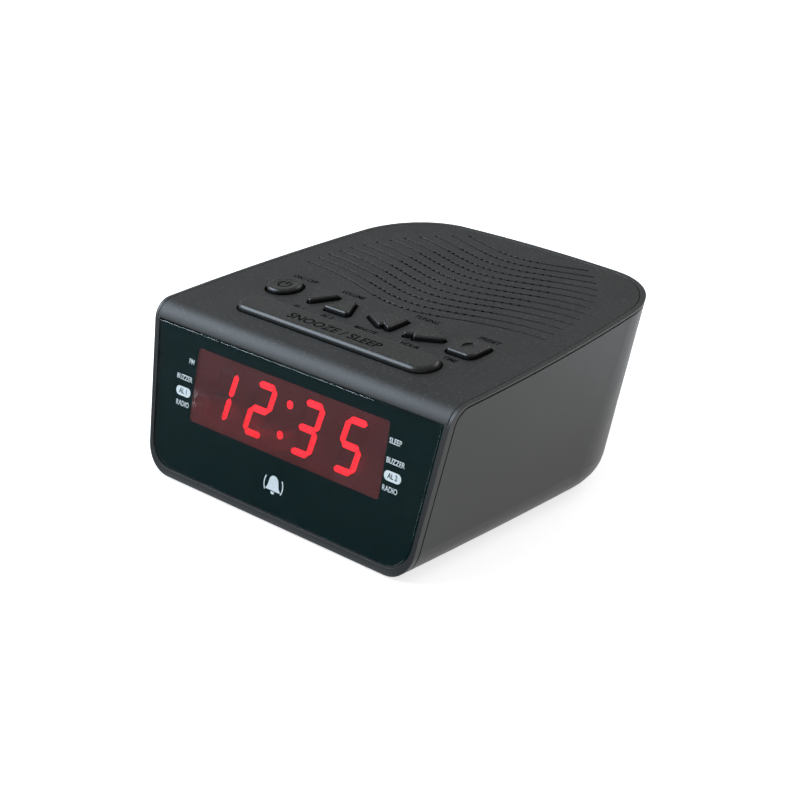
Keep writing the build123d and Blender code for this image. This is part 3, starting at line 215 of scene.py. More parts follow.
def math_node(tree, operation, first, second=None):
    """A maths node fed by sockets or by plain numbers."""
    node = add(tree, "Math", operation=operation)
    for slot_index, value in enumerate((first, second)):
        if hasattr(value, "links"):
            wire(tree, value, node.inputs[slot_index])
        elif value is not None:
            node.inputs[slot_index].default_value = value
    return node.outputs[0]


def new_effect(name, inputs, outputs):
    """An empty node group with its named sockets."""
    tree = bpy.data.node_groups.new(name, "ShaderNodeTree")
    for label, value in inputs.items():
        socket = tree.interface.new_socket(name=label, in_out="INPUT", socket_type="NodeSocketFloat")
        socket.default_value = value
    for label, kind in outputs.items():
        tree.interface.new_socket(name=label, in_out="OUTPUT", socket_type="NodeSocket" + kind)
    print("effect:", name, "with inputs", list(inputs), "and outputs", list(outputs))
    return tree, tree.nodes.new("NodeGroupInput"), tree.nodes.new("NodeGroupOutput")


def noise(tree, scale, detail=3.0):
    """Noise in the piece's own coordinates; scale is a socket or a number, per metre."""
    place = add(tree, "TexCoord")
    texture = add(tree, "TexNoise")
    texture.inputs["Detail"].default_value = detail
    wire(tree, place.outputs["Object"], texture.inputs["Vector"])
    if hasattr(scale, "links"):
        wire(tree, scale, texture.inputs["Scale"])
    else:
        texture.inputs["Scale"].default_value = scale
    return texture.outputs["Fac"]


print("tools for node groups: wire, add, math_node, new_effect, noise")

# %% [markdown]
# The mould was spark-eroded, so every moulding carries its fine pits. They could be modelled,
# but pits of a few hundredths of a millimetre would need millions of faces, and noise in a bump
# does the same. A fine and a broader noise make the height. A third, much slower one marks the
# patches where the plastic cooled unevenly.

# %% Effect: moulded grain
RIPPLE_SCALE = 0.3
RIPPLE_SHARE = 0.6


def make_grain_effect():
    """Spark-eroded grain: small pits over a broader ripple, and the slow patches of cooling."""
    tree, given, result = new_effect(
        "moulded grain", {"Scale": 4000.0, "Patch Scale": 30.0}, {"Height": "Float", "Patch": "Float"}
    )
    fine = noise(tree, given.outputs["Scale"], detail=2.0)
    broad = noise(tree, math_node(tree, "MULTIPLY", given.outputs["Scale"], RIPPLE_SCALE))
    height = math_node(tree, "ADD", fine, math_node(tree, "MULTIPLY", broad, RIPPLE_SHARE))
    wire(tree, height, result.inputs["Height"])
    wire(tree, noise(tree, given.outputs["Patch Scale"]), result.inputs["Patch"])
    return tree


grain_effect = make_grain_effect()

# %% [markdown]
# No moulded or pressed edge is as sharp as a knife, though the model leaves its smallest edges
# sharp. Bevelling the meshes would change the CAD pieces, so the shader's Bevel node rounds only
# the way they catch light. Where that rounded normal parts from the flat one there is an edge,
# and noise breaks this mask up, because hands never polish an edge evenly.

# %% Effect: soft edges and their wear
BEND_GAIN = 4.0


def make_edge_effect():
    """The rounded normal of an edge of a given radius, and a mask of where that edge has worn."""
    tree, given, result = new_effect(
        "soft edge", {"Radius": 0.0004, "Wear Scale": 900.0}, {"Normal": "Vector", "Wear": "Float"}
    )
    bevel = add(tree, "Bevel", samples=4)
    wire(tree, given.outputs["Radius"], bevel.inputs["Radius"])
    flat = add(tree, "NewGeometry")
    dot = add(tree, "VectorMath", operation="DOT_PRODUCT")
    wire(tree, bevel.outputs[0], dot.inputs[0])
    wire(tree, flat.outputs["Normal"], dot.inputs[1])
    bend = math_node(tree, "SUBTRACT", 1.0, dot.outputs["Value"])
    bend = math_node(tree, "MULTIPLY", bend, BEND_GAIN)
    patchy = math_node(tree, "MULTIPLY", bend, noise(tree, given.outputs["Wear Scale"], detail=4.0))
    clamp = add(tree, "Clamp")
    wire(tree, patchy, clamp.inputs["Value"])
    wire(tree, bevel.outputs[0], result.inputs["Normal"])
    wire(tree, clamp.outputs[0], result.inputs["Wear"])
    return tree


edge_effect = make_edge_effect()

# %% [markdown]
# Dust settles only on what faces up. Specks could be scattered as small meshes, but a mask
# follows any shape and costs nothing. The upward part of the normal lets it in, a slow noise
# makes the film, and the highest peaks of a fine noise make the specks.

# %% Effect: settled dust
UPWARD_FROM = 0.3
FILM_SCALE = 60.0
FILM_SHARE = 0.5
SPECK_FROM = 0.66
SPECK_FULL = 0.74


def make_dust_effect():
    """A thin, uneven film and a few specks on whatever faces up."""
    tree, given, result = new_effect(
        "settled dust", {"Amount": 0.2, "Speck Scale": 1500.0}, {"Dust": "Float"}
    )
    facing = add(tree, "NewGeometry")
    split = add(tree, "SeparateXYZ")
    wire(tree, facing.outputs["Normal"], split.inputs[0])
    upward = add(tree, "MapRange")
    upward.inputs["From Min"].default_value = UPWARD_FROM
    wire(tree, split.outputs["Z"], upward.inputs["Value"])
    film = noise(tree, FILM_SCALE, detail=5.0)
    specks = add(tree, "MapRange")
    specks.inputs["From Min"].default_value = SPECK_FROM
    specks.inputs["From Max"].default_value = SPECK_FULL
    wire(tree, noise(tree, given.outputs["Speck Scale"], detail=0.0), specks.inputs["Value"])
    film_cover = math_node(tree, "MULTIPLY", film, FILM_SHARE)
    cover = math_node(tree, "ADD", film_cover, specks.outputs["Result"])
    cover = math_node(tree, "MULTIPLY", cover, upward.outputs["Result"])
    wire(tree, math_node(tree, "MULTIPLY", cover, given.outputs["Amount"]), result.inputs["Dust"])
    return tree


dust_effect = make_dust_effect()

# %% [markdown]
# The grooves and holes of the grille look almost black, since little light reaches into them. Light
# from all round would show their walls too pale, so a mask of depth under the top face paints shade
# on them. The depth is measured along the direction in which the keys are pressed. The rounded
# brow at the front also lies lower than the top, so the mask starts behind it.

# %% Effect: painted shade in deep places
BROW_REACH = 21 * MM


def make_pit_shade_effect():
    """A mask of what lies more than a little under the top face, such as the walls of a hole, where shade is
    painted.
    """
    top = max(v.co.dot(-press) for v in nodes["top_panel"].data.vertices)
    tree, given, result = new_effect("painted shade in deep places", {"Depth": 0.00008, "Fade": 0.0003}, {"Deep": "Float"})
    place = add(tree, "TexCoord")
    dot = add(tree, "VectorMath", operation="DOT_PRODUCT")
    dot.inputs[1].default_value = -press
    wire(tree, place.outputs["Object"], dot.inputs[0])
    below = math_node(tree, "SUBTRACT", top, dot.outputs["Value"])
    past = math_node(tree, "SUBTRACT", below, given.outputs["Depth"])
    share = add(tree, "Clamp")
    wire(tree, math_node(tree, "DIVIDE", past, given.outputs["Fade"]), share.inputs["Value"])
    split = add(tree, "SeparateXYZ")
    wire(tree, place.outputs["Object"], split.inputs[0])
    behind_brow = math_node(tree, "GREATER_THAN", split.outputs["Y"], cad_low.y + BROW_REACH)
    wire(tree, math_node(tree, "MULTIPLY", share.outputs[0], behind_brow), result.inputs["Deep"])
    return tree


pit_shade_effect = make_pit_shade_effect()

# %% [markdown]
# Every finish is built from the same few moves: place an effect, mix colours by a mask, and
# turn a mask into a number. They could be wired by hand in each material, but as functions they
# leave only the values that make one finish different from another.

# %% Tools for masks and colours
def place_effect(tree, effect, **values):
    """One use of an effect in a finish; underscores in the names stand for spaces."""
    node = tree.nodes.new("ShaderNodeGroup")
    node.node_tree = effect
    for key, value in values.items():
        node.inputs[key.replace("_", " ")].default_value = value
    return node


def blend(tree, amount, first, second):
    """A colour between two, each a socket or a plain colour, by a mask."""
    node = add(tree, "Mix", data_type="RGBA")
    wire(tree, amount, node.inputs["Factor"])
    for label, value in (("A", first), ("B", second)):
        socket = [s for s in node.inputs if s.name == label and s.type == "RGBA"][0]
        if hasattr(value, "links"):
            wire(tree, value, socket)
        else:
            socket.default_value = (*value, 1)
    return [s for s in node.outputs if s.type == "RGBA"][0]


def spread(tree, mask, low, high):
    """A number that goes from low to high as a mask goes from 0 to 1."""
    node = add(tree, "MapRange")
    node.inputs["To Min"].default_value = low
    node.inputs["To Max"].default_value = high
    wire(tree, mask, node.inputs["Value"])
    return node.outputs["Result"]


print("tools for masks and colours: place_effect, blend, spread")

# %% [markdown]
# A material starts from one Principled shader. What is the same all over a surface is set on
# the shader's own sockets, and only what changes from place to place is wired in. Relief ends
# in a Bump node, and the last tool gives a finish to pieces of the CAD model.

# %% Tools to start a finish and dress a piece
def new_finish(name, **constants):
    """A material with its Principled shader; what is the same all over is set on its sockets."""
    material = bpy.data.materials.new(name)
    material.use_nodes = True
    shader = material.node_tree.nodes["Principled BSDF"]
    for key, value in constants.items():
        shader.inputs[key.replace("_", " ")].default_value = value
    print("finish:", name)
    return material, material.node_tree, shader


def bump(tree, shader, height, depth, normal=None):
    """Relief of a given depth in metres, on top of a softened normal if there is one."""
    node = add(tree, "Bump")
    node.inputs["Strength"].default_value = 1.0
    node.inputs["Distance"].default_value = depth
    wire(tree, height, node.inputs["Height"])
    if normal is not None:
        wire(tree, normal, node.inputs["Normal"])
    wire(tree, node.outputs["Normal"], shader.inputs["Normal"])


def dress(finish, slot_name, *names):
    """Gives CAD nodes a finish."""
    for name in names:
        nodes[name].data.materials.clear()
        nodes[name].data.materials.append(finish)
    print("dressed in", finish.name + ":", *names)


print("tools to start a finish and dress a piece: new_finish, bump, dress")

# %% [markdown]
# Black ABS comes out of the tool nearly black, with a fine spark-eroded texture that scatters
# the light. The same recipe serves the case, the panel and the keys, with other grain, tone
# and gloss, so the recipe is a function and each moulding gives its own values. Edges go a
# little paler and smoother where hands and cloths rub them.

# %% Recipe for moulded plastic
EDGE_RADIUS = 0.0003
PATCH_SWING = 0.12
ROUGH_SWING = 0.04
EDGE_POLISH = -0.15
DUST_COLOUR = (0.30, 0.29, 0.27)
PAINTED_PIT_SHADE = (0.0005, 0.0005, 0.0005)


def moulded(name, tone, worn, rough, grain, depth, dust=0.12, gloss=0.5, pits=False):
    """A moulded plastic; depth is in metres, and gloss is how strongly its surface reflects."""
    material, tree, shader = new_finish(name, Specular_IOR_Level=gloss)
    texture = place_effect(tree, grain_effect, Scale=grain)
    edge = place_effect(tree, edge_effect, Radius=EDGE_RADIUS)
    film = place_effect(tree, dust_effect, Amount=dust)
    lighter = tuple(c * (1 + PATCH_SWING) for c in tone)
    darker = tuple(c * (1 - PATCH_SWING) for c in tone)
    colour = blend(tree, texture.outputs["Patch"], darker, lighter)
    colour = blend(tree, edge.outputs["Wear"], colour, worn)
    colour = blend(tree, film.outputs["Dust"], colour, DUST_COLOUR)
    # Where asked, shade is painted into the deep places: their walls go near black.
    if pits:
        deep = place_effect(tree, pit_shade_effect)
        colour = blend(tree, deep.outputs["Deep"], colour, PAINTED_PIT_SHADE)
    wire(tree, colour, shader.inputs["Base Color"])
    base = spread(tree, texture.outputs["Patch"], rough - ROUGH_SWING, rough + ROUGH_SWING)
    polished = math_node(tree, "MULTIPLY", edge.outputs["Wear"], EDGE_POLISH)
    wire(tree, math_node(tree, "ADD", base, polished), shader.inputs["Roughness"])
    bump(tree, shader, texture.outputs["Height"], depth, edge.outputs["Normal"])
    return material


print("moulded plastic has edges of", EDGE_RADIUS / MM, "mm")

# %% [markdown]
# The case and the panel are the same black. The panel is a little rougher and reflects less,
# because it faces the light and would look grey, and its deep places get painted shade. The keys
# are darker and smoother, from another tool, so they stand out from the panel.

# %% Finishes: case, panel and keys
BLACK = (0.016, 0.0165, 0.016)
KEYS = ("snooze_bar", "power_key", "down_key", "up_key", "left_key", "right_key", "preset_key")

shell_finish = moulded(
    "shell plastic", tone=BLACK, worn=(0.05, 0.05, 0.05), rough=0.44, grain=3600.0, depth=0.000012
)
panel_finish = moulded(
    "panel plastic", tone=BLACK, worn=(0.04, 0.04, 0.04), rough=0.46, grain=3600.0, depth=0.000010,
    gloss=0.40, pits=True
)
key_finish = moulded(
    "key plastic", tone=(0.010, 0.010, 0.010), worn=(0.04, 0.04, 0.04), rough=0.30, grain=5200.0,
    depth=0.000005
)
dress(shell_finish, "shell_plastic", "cabinet_shell", "rim_frame")
dress(panel_finish, "panel_plastic", "top_panel")
dress(key_finish, "key_plastic", *KEYS)

# %% [markdown]
# The radio stands on a pale sheet. One large plane is enough. It gives off light of its own,
# like a light table, so it stays white and throws light up on to the sides without washing out
# the top. Seen from below it is clear, because the feet and the battery door are under it.

# %% Room floor
FLOOR_REACH = 3.0
FLOOR_GLOW = 0.72
FLOOR_MOTTLE = 25.0
FLOOR_TONES = ((0.86, 0.86, 0.86), (0.9, 0.9, 0.9))


def make_floor():
    """A pale sheet under the radio, with a faint mottle; it can be seen through from below."""
    mesh = bpy.data.meshes.new("floor")
    far = FLOOR_REACH
    mesh.from_pydata([(-far, -far, 0), (far, -far, 0), (far, far, 0), (-far, far, 0)], [], [(0, 1, 2, 3)])
    floor = bpy.data.objects.new("floor", mesh)
    bpy.context.scene.collection.objects.link(floor)
    material, tree, shader = new_finish(
        "floor paper", Roughness=0.9, Specular_IOR_Level=0.1, Emission_Strength=FLOOR_GLOW,
        Emission_Color=(1.0, 1.0, 1.0, 1.0),
    )
    mottle = noise(tree, FLOOR_MOTTLE, detail=4.0)
    wire(tree, blend(tree, mottle, *FLOOR_TONES), shader.inputs["Base Color"])
    side = add(tree, "NewGeometry")
    wire(tree, math_node(tree, "SUBTRACT", 1.0, side.outputs["Backfacing"]), shader.inputs["Alpha"])
    mesh.materials.append(material)


make_floor()

# %% [markdown]
# The lens is glossy, so it would mirror the bright floor in front of it and turn pale. In a
# studio a grey card goes where the lens looks. This one is met only by reflections: the camera,
# diffuse light and shadows pass it by. Its near edge runs along the foot of the lens, and it
# slopes up along the path of the main camera's view after the lens has mirrored it.

# %% Grey card
FLAG_GAP = 0.003
FLAG_LEFT = -0.22
FLAG_RIGHT = 0.09
FLAG_LENGTH = 0.45
FLAG_RISE = 0.13
FLAG_MOTTLE = 20.0
FLAG_TONES = ((0.22, 0.24, 0.25), (0.27, 0.29, 0.30))


def make_flag():
    """A grey card that the glossy lens reflects in place of the bright floor."""
    along = Vector((-math.sin(AZIMUTH), -math.cos(AZIMUTH), 0))
    near_y = cad_low.y - FLAG_GAP
    near = [Vector((FLAG_LEFT, near_y, MM)), Vector((FLAG_RIGHT, near_y, MM))]
    reach = along * FLAG_LENGTH + Vector((0, 0, FLAG_RISE))
    mesh = bpy.data.meshes.new("flag")
    mesh.from_pydata([*near, near[1] + reach, near[0] + reach], [], [(0, 1, 2, 3)])
    flag = bpy.data.objects.new("flag", mesh)
    bpy.context.scene.collection.objects.link(flag)
    material, tree, shader = new_finish("flag card", Specular_IOR_Level=0.0, Roughness=1.0)
    wire(tree, blend(tree, noise(tree, FLAG_MOTTLE), *FLAG_TONES), shader.inputs["Base Color"])
    mesh.materials.append(material)
    flag.visible_camera = False
    flag.visible_diffuse = False
    flag.visible_shadow = False


make_flag()

# %% [markdown]
# The lens is a plate of clear acrylic printed on its back: dark ink everywhere except the
# window. It could be one black slab, but a clear plate gives the gloss and the depth of the
# real one. The plate is the CAD piece, in clear plastic with a faint smear in its roughness. It
# throws no shadow, because that would darken everything behind it.

# %% Finish: clear lens
SMEAR_SCALE = 45.0
SMEAR_ROUGHNESS = (0.0, 0.02)


def make_clear_finish():
    """Clear acrylic with a faint smear."""
    material, tree, shader = new_finish(
        "lens acrylic", Transmission_Weight=1.0, IOR=1.42, Base_Color=(0.86, 0.93, 0.92, 1)
    )
    smear = noise(tree, SMEAR_SCALE, detail=5.0)
    wire(tree, spread(tree, smear, *SMEAR_ROUGHNESS), shader.inputs["Roughness"])
    return material


dress(make_clear_finish(), "lens_acrylic", "display_lens")
nodes["display_lens"].visible_shadow = False

# %% [markdown]
# Ink, labels and icons are all thin flat shapes on a plane. Curve objects could be filled, but
# a bmesh keeps full control: loops of points go in, the inner ones become holes, and the result
# is turned to the plane and made an object.

# %% Tools for flat shapes
CORNER_STEPS = 6
SAME_POINT = 1e-7


def rounded_rectangle(left, right, low, high, radius):
    """Points round a rectangle with round corners, anticlockwise."""
    points = []
    quarter = math.pi / 2
    corners = [(right - radius, low + radius, -quarter), (right - radius, high - radius, 0),
               (left + radius, high - radius, quarter), (left + radius, low + radius, 2 * quarter)]
    for x, y, start in corners:
        for step in range(CORNER_STEPS + 1):
            turn = start + quarter * step / CORNER_STEPS
            point = Vector((x + radius * math.cos(turn), y + radius * math.sin(turn)))
            if not points or (point - points[-1]).length > SAME_POINT:
                points.append(point)
    if (points[0] - points[-1]).length < SAME_POINT:
        points.pop()
    return points


def finished(name, mesh, plane):
    """Turns a bmesh in a working plane's coordinates into an object in the frame."""
    mesh.transform(plane)
    data = bpy.data.meshes.new(name)
    mesh.to_mesh(data)
    mesh.free()
    piece = bpy.data.objects.new(name, data)
    bpy.context.scene.collection.objects.link(piece)
    return piece


def filled(name, loops, plane, height):
    """A flat face bounded by one outer loop, with the others as holes."""
    mesh = bmesh.new()
    edges = []
    for loop in loops:
        verts = [mesh.verts.new((p[0], p[1], height)) for p in loop]
        edges += [mesh.edges.new((verts[i - 1], verts[i])) for i in range(len(verts))]
    bmesh.ops.triangle_fill(mesh, use_beauty=True, use_dissolve=False, edges=edges)
    bmesh.ops.recalc_face_normals(mesh, faces=mesh.faces)
    if sum(f.normal.z for f in mesh.faces) < 0:
        bmesh.ops.reverse_faces(mesh, faces=mesh.faces)
    return finished(name, mesh, plane)


print("tools for flat shapes: rounded_rectangle, finished, filled")

# %% [markdown]
# The ink has to fit the lens, and its window has to fit the red film behind it. Their sizes
# could be copied from the drawing, but measured on the pieces they stay right if the model
# changes. The outline is walked along the rim of the faces that look backwards.

# %% Measure the lens and its window
WELD = 1e-6
FLATNESS = 0.99


def on_plane(plane, node):
    """A node's points in the coordinates of a working plane."""
    back = plane.inverted()
    return [back @ v.co for v in nodes[node].data.vertices]


def back_outline(node, plane):
    """The outer loop of a plate's flat back face, in the plane's coordinates."""
    mesh = bmesh.new()
    mesh.from_mesh(nodes[node].data)
    mesh.transform(plane.inverted())
    bmesh.ops.remove_doubles(mesh, verts=mesh.verts, dist=WELD)
    unwanted = [f for f in mesh.faces if -f.normal.z < FLATNESS]
    bmesh.ops.delete(mesh, geom=unwanted, context="FACES")
    rim = [e for e in mesh.edges if len(e.link_faces) == 1]
    loop = list(rim[0].verts)
    edges = set(rim[1:])
    while edges:
        following = next((e for e in loop[-1].link_edges if e in edges), None)
        if following is None:
            break
        edges.discard(following)
        loop.append(following.other_vert(loop[-1]))
    points = [v.co.copy() for v in loop[:-1]]
    mesh.free()
    return points


lens_back = back_outline("display_lens", LENS)
thickness = -lens_back[0].z
filter_points = on_plane(LENS, "red_filter")
window = (
    min(p.x for p in filter_points), max(p.x for p in filter_points),
    min(p.y for p in filter_points), max(p.y for p in filter_points),
)
print("lens is", round(thickness / MM, 2), "mm thick; window in mm:", [round(w / MM, 2) for w in window])

# %% [markdown]
# The ink could be a second material on the back of the plate, but its window has round
# corners that are no edges of the plate. So it is a sheet of its own, cut from the outline with
# the window left open. It lies a hair inside the plate, so that the two faces never coincide.

# %% The ink sheet behind the lens
INK_INSET = 0.12 * MM
INK_LIFT = 0.04 * MM
WINDOW_CORNER = 1.0 * MM

middle = sum(lens_back, Vector()) / len(lens_back)
inset = [p - (p - middle).normalized() * INK_INSET for p in lens_back]
opening = rounded_rectangle(*window, WINDOW_CORNER)
ink = filled("lens_ink", [inset, opening], LENS, -thickness + INK_LIFT)
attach(ink, "case")
print("ink sheet has", len(ink.data.polygons), "faces")

# %% [markdown]
# The ink is a blue-green so dark that it is nearly black. The plate in front already has the
# gloss, so the ink has no specular of its own: it only gives the colour that comes back
# through the acrylic, a little uneven like any print.

# %% Finish: lens ink
FAINT_RELIEF = 0.000002
INK_FLOW = 120.0
INK_TONES = ((0.001, 0.010, 0.010), (0.002, 0.013, 0.013))


def make_ink_finish():
    """Screen-printed ink with no gloss of its own."""
    material, tree, shader = new_finish("lens ink", Specular_IOR_Level=0.0)
    flow = noise(tree, INK_FLOW, detail=4.0)
    wire(tree, blend(tree, flow, *INK_TONES), shader.inputs["Base Color"])
    wire(tree, spread(tree, flow, 0.8, 0.9), shader.inputs["Roughness"])
    bump(tree, shader, flow, FAINT_RELIEF)
    return material


ink.data.materials.append(make_ink_finish())

# %% [markdown]
# Behind the window a red film lies over the LED module. The film is a thin sheet that lets
# light through, so it is made with Alpha. The lit bars are lamps, so they give off light, a
# little brighter in one place than in another.

# %% Finishes: red film and lit bars
FILM_REDS = ((0.13, 0.012, 0.013), (0.16, 0.015, 0.016))
FILM_ALPHA = (0.26, 0.30)
BAR_GLOW = 3.4
BAR_LIGHT = ((0.9, 0.008, 0.016), (1.0, 0.014, 0.026))
BAR_REDS = ((0.5, 0.01, 0.01), (0.6, 0.02, 0.02))


def make_film_finish():
    """A clear red sheet, uneven enough to look real."""
    material, tree, shader = new_finish("red film", Specular_IOR_Level=0.08)
    shade = noise(tree, 40.0)
    wire(tree, blend(tree, shade, *FILM_REDS), shader.inputs["Base Color"])
    wire(tree, spread(tree, shade, *FILM_ALPHA), shader.inputs["Alpha"])
    wire(tree, spread(tree, shade, 0.3, 0.4), shader.inputs["Roughness"])
    bump(tree, shader, shade, FAINT_RELIEF)
    return material


def make_lit_finish():
    """Red light from behind a diffuser."""
    material, tree, shader = new_finish("lit bars", Specular_IOR_Level=0.1, Emission_Strength=BAR_GLOW)
    glow = noise(tree, 700.0)
    hot = blend(tree, glow, *BAR_LIGHT)
    wire(tree, spread(tree, glow, 0.3, 0.5), shader.inputs["Roughness"])
    bump(tree, shader, glow, FAINT_RELIEF)
    wire(tree, hot, shader.inputs["Emission Color"])
    wire(tree, blend(tree, glow, *BAR_REDS), shader.inputs["Base Color"])
    return material


dress(make_film_finish(), "red_acrylic", "red_filter")
dress(make_lit_finish(), "lit_red", "lit_segments")

# %% [markdown]
# The face of the module is a dark moulding, and the bars that are off are a dull dark red, a
# little paler than the face round them. Neither has a finish worth a recipe of its own: both
# are moulded plastic without dust, since they are closed in.

# %% Finishes: module face and dark bars
module_finish = moulded(
    "module face", tone=(0.030, 0.014, 0.014), worn=(0.05, 0.03, 0.03), rough=0.6, grain=3000.0,
    depth=0.000006, dust=0.0, gloss=0.2
)
unlit_finish = moulded(
    "dark bars", tone=(0.045, 0.018, 0.018), worn=(0.06, 0.03, 0.03), rough=0.5, grain=3000.0,
    depth=0.000004, dust=0.0, gloss=0.2
)
dress(module_finish, "module_face", "led_module")
dress(unlit_finish, "unlit_red", "dark_segments")

# %% [markdown]
# The words are generic. On the lens they are white print under the acrylic, and on the top they
# are dark strokes of painted shade, where the real letters are sunk. Text objects give the letters,
# and they are turned into meshes, so that words which belong together are joined into one thin
# piece that rides on its body.

# %% Lettering tools
CAPITAL_SHARE = 1.38


def word(text, size, plane, x, y, lift, align="CENTER", squeeze=0.85, weight=0.0, width=None):
    """A word as a mesh on a plane; size is the height of its capitals."""
    curve = bpy.data.curves.new("word", "FONT")
    curve.body = text
    curve.size = size * CAPITAL_SHARE
    curve.align_x = align
    curve.align_y = "CENTER"
    curve.offset = weight
    curve.resolution_u = 3
    scratch = bpy.data.objects.new("word", curve)
    bpy.context.scene.collection.objects.link(scratch)
    bpy.context.view_layer.update()
    flat = bpy.data.meshes.new_from_object(scratch)
    bpy.data.objects.remove(scratch)
    if width:
        across = [v.co.x for v in flat.vertices]
        squeeze = width / (max(across) - min(across))
    flat.transform(Matrix.Diagonal((squeeze, 1, 1, 1)))
    flat.transform(Matrix.Translation((x, y, lift)))
    flat.transform(plane)
    return flat


def joined(name, meshes, finish, body, thickness=0.0):
    """Several flat meshes as one piece, given a thickness, that rides on a body."""
    mesh = bmesh.new()
    for part in meshes:
        mesh.from_mesh(part)
    bmesh.ops.remove_doubles(mesh, verts=mesh.verts, dist=SAME_POINT)
    piece = finished(name, mesh, Matrix.Identity(4))
    if thickness:
        solid = piece.modifiers.new("thickness", "SOLIDIFY")
        solid.thickness = thickness
        solid.offset = -1
    piece.data.materials.append(finish)
    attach(piece, body)
    print(name, "rides on", body, "with", len(piece.data.polygons), "faces")


def print_and_shade_finish(name, dark, pale):
    """A print, or the painted shade of a sunk stroke, so matt that it hardly reflects."""
    material, tree, shader = new_finish(name, Specular_IOR_Level=0.04)
    patch = noise(tree, 900.0)
    wire(tree, blend(tree, patch, dark, pale), shader.inputs["Base Color"])
    wire(tree, spread(tree, patch, 0.85, 0.95), shader.inputs["Roughness"])
    bump(tree, shader, patch, FAINT_RELIEF)
    return material


print("lettering tools: word, joined, print_and_shade_finish")

# %% [markdown]
# Two columns of labels stand beside the window, the left one ending at it and the right one
# starting from it. They could be left open in the ink with white behind, but letters laid just
# in front of the ink are simpler, and a little thickness lets them catch light like print.

# %% White print on the lens
LABEL_HEIGHT = 1.75 * MM
LABEL_WEIGHT = 0.05 * MM
LABEL_THICKNESS = 0.02 * MM
PRINT_LIFT = 0.05 * MM
LEFT_EDGE = window[0] - 1.2 * MM
RIGHT_EDGE = window[1] + 0.7 * MM
ROWS = {"upper": 36.9 * MM, "buzzer": 30.9 * MM, "alarm": 26.4 * MM, "radio": 22.3 * MM}
COLUMNS = (
    (LEFT_EDGE, "RIGHT", (("PM", "upper"), ("BUZZER", "buzzer"), ("RADIO", "radio"))),
    (RIGHT_EDGE, "LEFT", (("SLEEP", "upper"), ("BUZZER", "buzzer"), ("RADIO", "radio"))),
)

white_print = print_and_shade_finish("white print", (0.80, 0.81, 0.82), (0.9, 0.9, 0.9))
dark_print = print_and_shade_finish("dark print", (0.006, 0.012, 0.012), (0.012, 0.018, 0.018))
print_height = -thickness + INK_LIFT + PRINT_LIFT
labels = [
    word(text, LABEL_HEIGHT, LENS, x, ROWS[row], print_height, align, weight=LABEL_WEIGHT)
    for x, align, column in COLUMNS
    for text, row in column
]
joined("lens_labels", labels, white_print, "case", LABEL_THICKNESS)

# %% [markdown]
# The two alarm marks are dark letters on a white pill. The letters could be holes in the pill,
# but then the fill would be full of slivers. A plain pill with a dark word just in front of it
# looks the same.

# %% The two alarm pills
PILL_WIDTH = 7.0 * MM
PILL_HEIGHT = 3.1 * MM
MARK_LIFT = 0.04 * MM
PILLS = (("left", LEFT_EDGE - PILL_WIDTH / 2, "AL 1"), ("right", RIGHT_EDGE + PILL_WIDTH / 2, "AL 2"))

for side, x, text in PILLS:
    y = ROWS["alarm"]
    half = PILL_HEIGHT / 2
    pill = rounded_rectangle(x - PILL_WIDTH / 2, x + PILL_WIDTH / 2, y - half, y + half, half)
    piece = filled("alarm_pill_" + side, [pill], LENS, print_height)
    piece.data.materials.append(white_print)
    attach(piece, "case")
    mark = word(text, LABEL_HEIGHT, LENS, x, y, print_height + MARK_LIFT, weight=LABEL_WEIGHT)
    joined("alarm_mark_" + side, [mark], dark_print, "case")

# %% [markdown]
# The words behind and in front of the keys are moulded into the panel on a real radio. Cutting
# them into the mesh would break up the CAD piece, so they are near-black faces 0.02 mm over it:
# painted shade that looks like the shadow inside sunk letters. Their places are measured from the
# keys, so they follow the keys in the model.

# %% Words on the panel
LETTER = 2.05 * MM
BACK_GAP = 2.9 * MM
FRONT_GAP = 1.9 * MM
WORD_LIFT = 0.02 * MM
STROKE_EXTRA = 0.07 * MM


def key_middle(name):
    """The middle of a key's box."""
    low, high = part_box(name)
    return (low + high) / 2


out = -press.normalized()
right = Vector((1, 0, 0))
up = out.cross(right)
panel_top = max(v.co.dot(out) for v in nodes["top_panel"].data.vertices)
TOP = Matrix.Translation(out * panel_top) @ Matrix((right, up, out)).transposed().to_4x4()
to_top = TOP.inverted()
# Near black: painted shade for the inside of sunk strokes.
sunk = print_and_shade_finish("painted shade of sunk lettering", (0.002, 0.002, 0.002), (0.004, 0.004, 0.004))
row_back = (to_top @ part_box("preset_key")[1]).y
row_front = (to_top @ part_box("preset_key")[0]).y
BACK_ROW = row_back + BACK_GAP
FRONT_ROW = row_front - FRONT_GAP
middles = {name: key_middle(name).x for name in KEYS}
words = [
    ("ON / OFF", middles["power_key"], BACK_ROW),
    ("VOLUME", (middles["down_key"] + middles["up_key"]) / 2, BACK_ROW),
    ("TUNING", (middles["left_key"] + middles["right_key"]) / 2, BACK_ROW),
    ("PRESET", middles["preset_key"], BACK_ROW),
    ("AL 1", middles["down_key"], FRONT_ROW),
    ("AL 2", middles["up_key"], FRONT_ROW),
    ("MINUTE", middles["left_key"], FRONT_ROW),
    ("HOUR", middles["right_key"], FRONT_ROW),
    ("TIME", middles["preset_key"], FRONT_ROW),
]
panel_words = [
    word(text, LETTER, TOP, x, y, WORD_LIFT, squeeze=0.95, weight=STROKE_EXTRA) for text, x, y in words
]
joined("panel_lettering", panel_words, sunk, "case")

# %% [markdown]
# The long bar carries the largest words. They ride on the bar, because they go down with it
# when it is pressed. The width of the whole line is set, and the letters are squeezed to it.

# %% Words on the bar
BAR_LETTER = 3.6 * MM
BAR_DROP = 0.9 * MM
BAR_WORD_WIDTH = 40.5 * MM

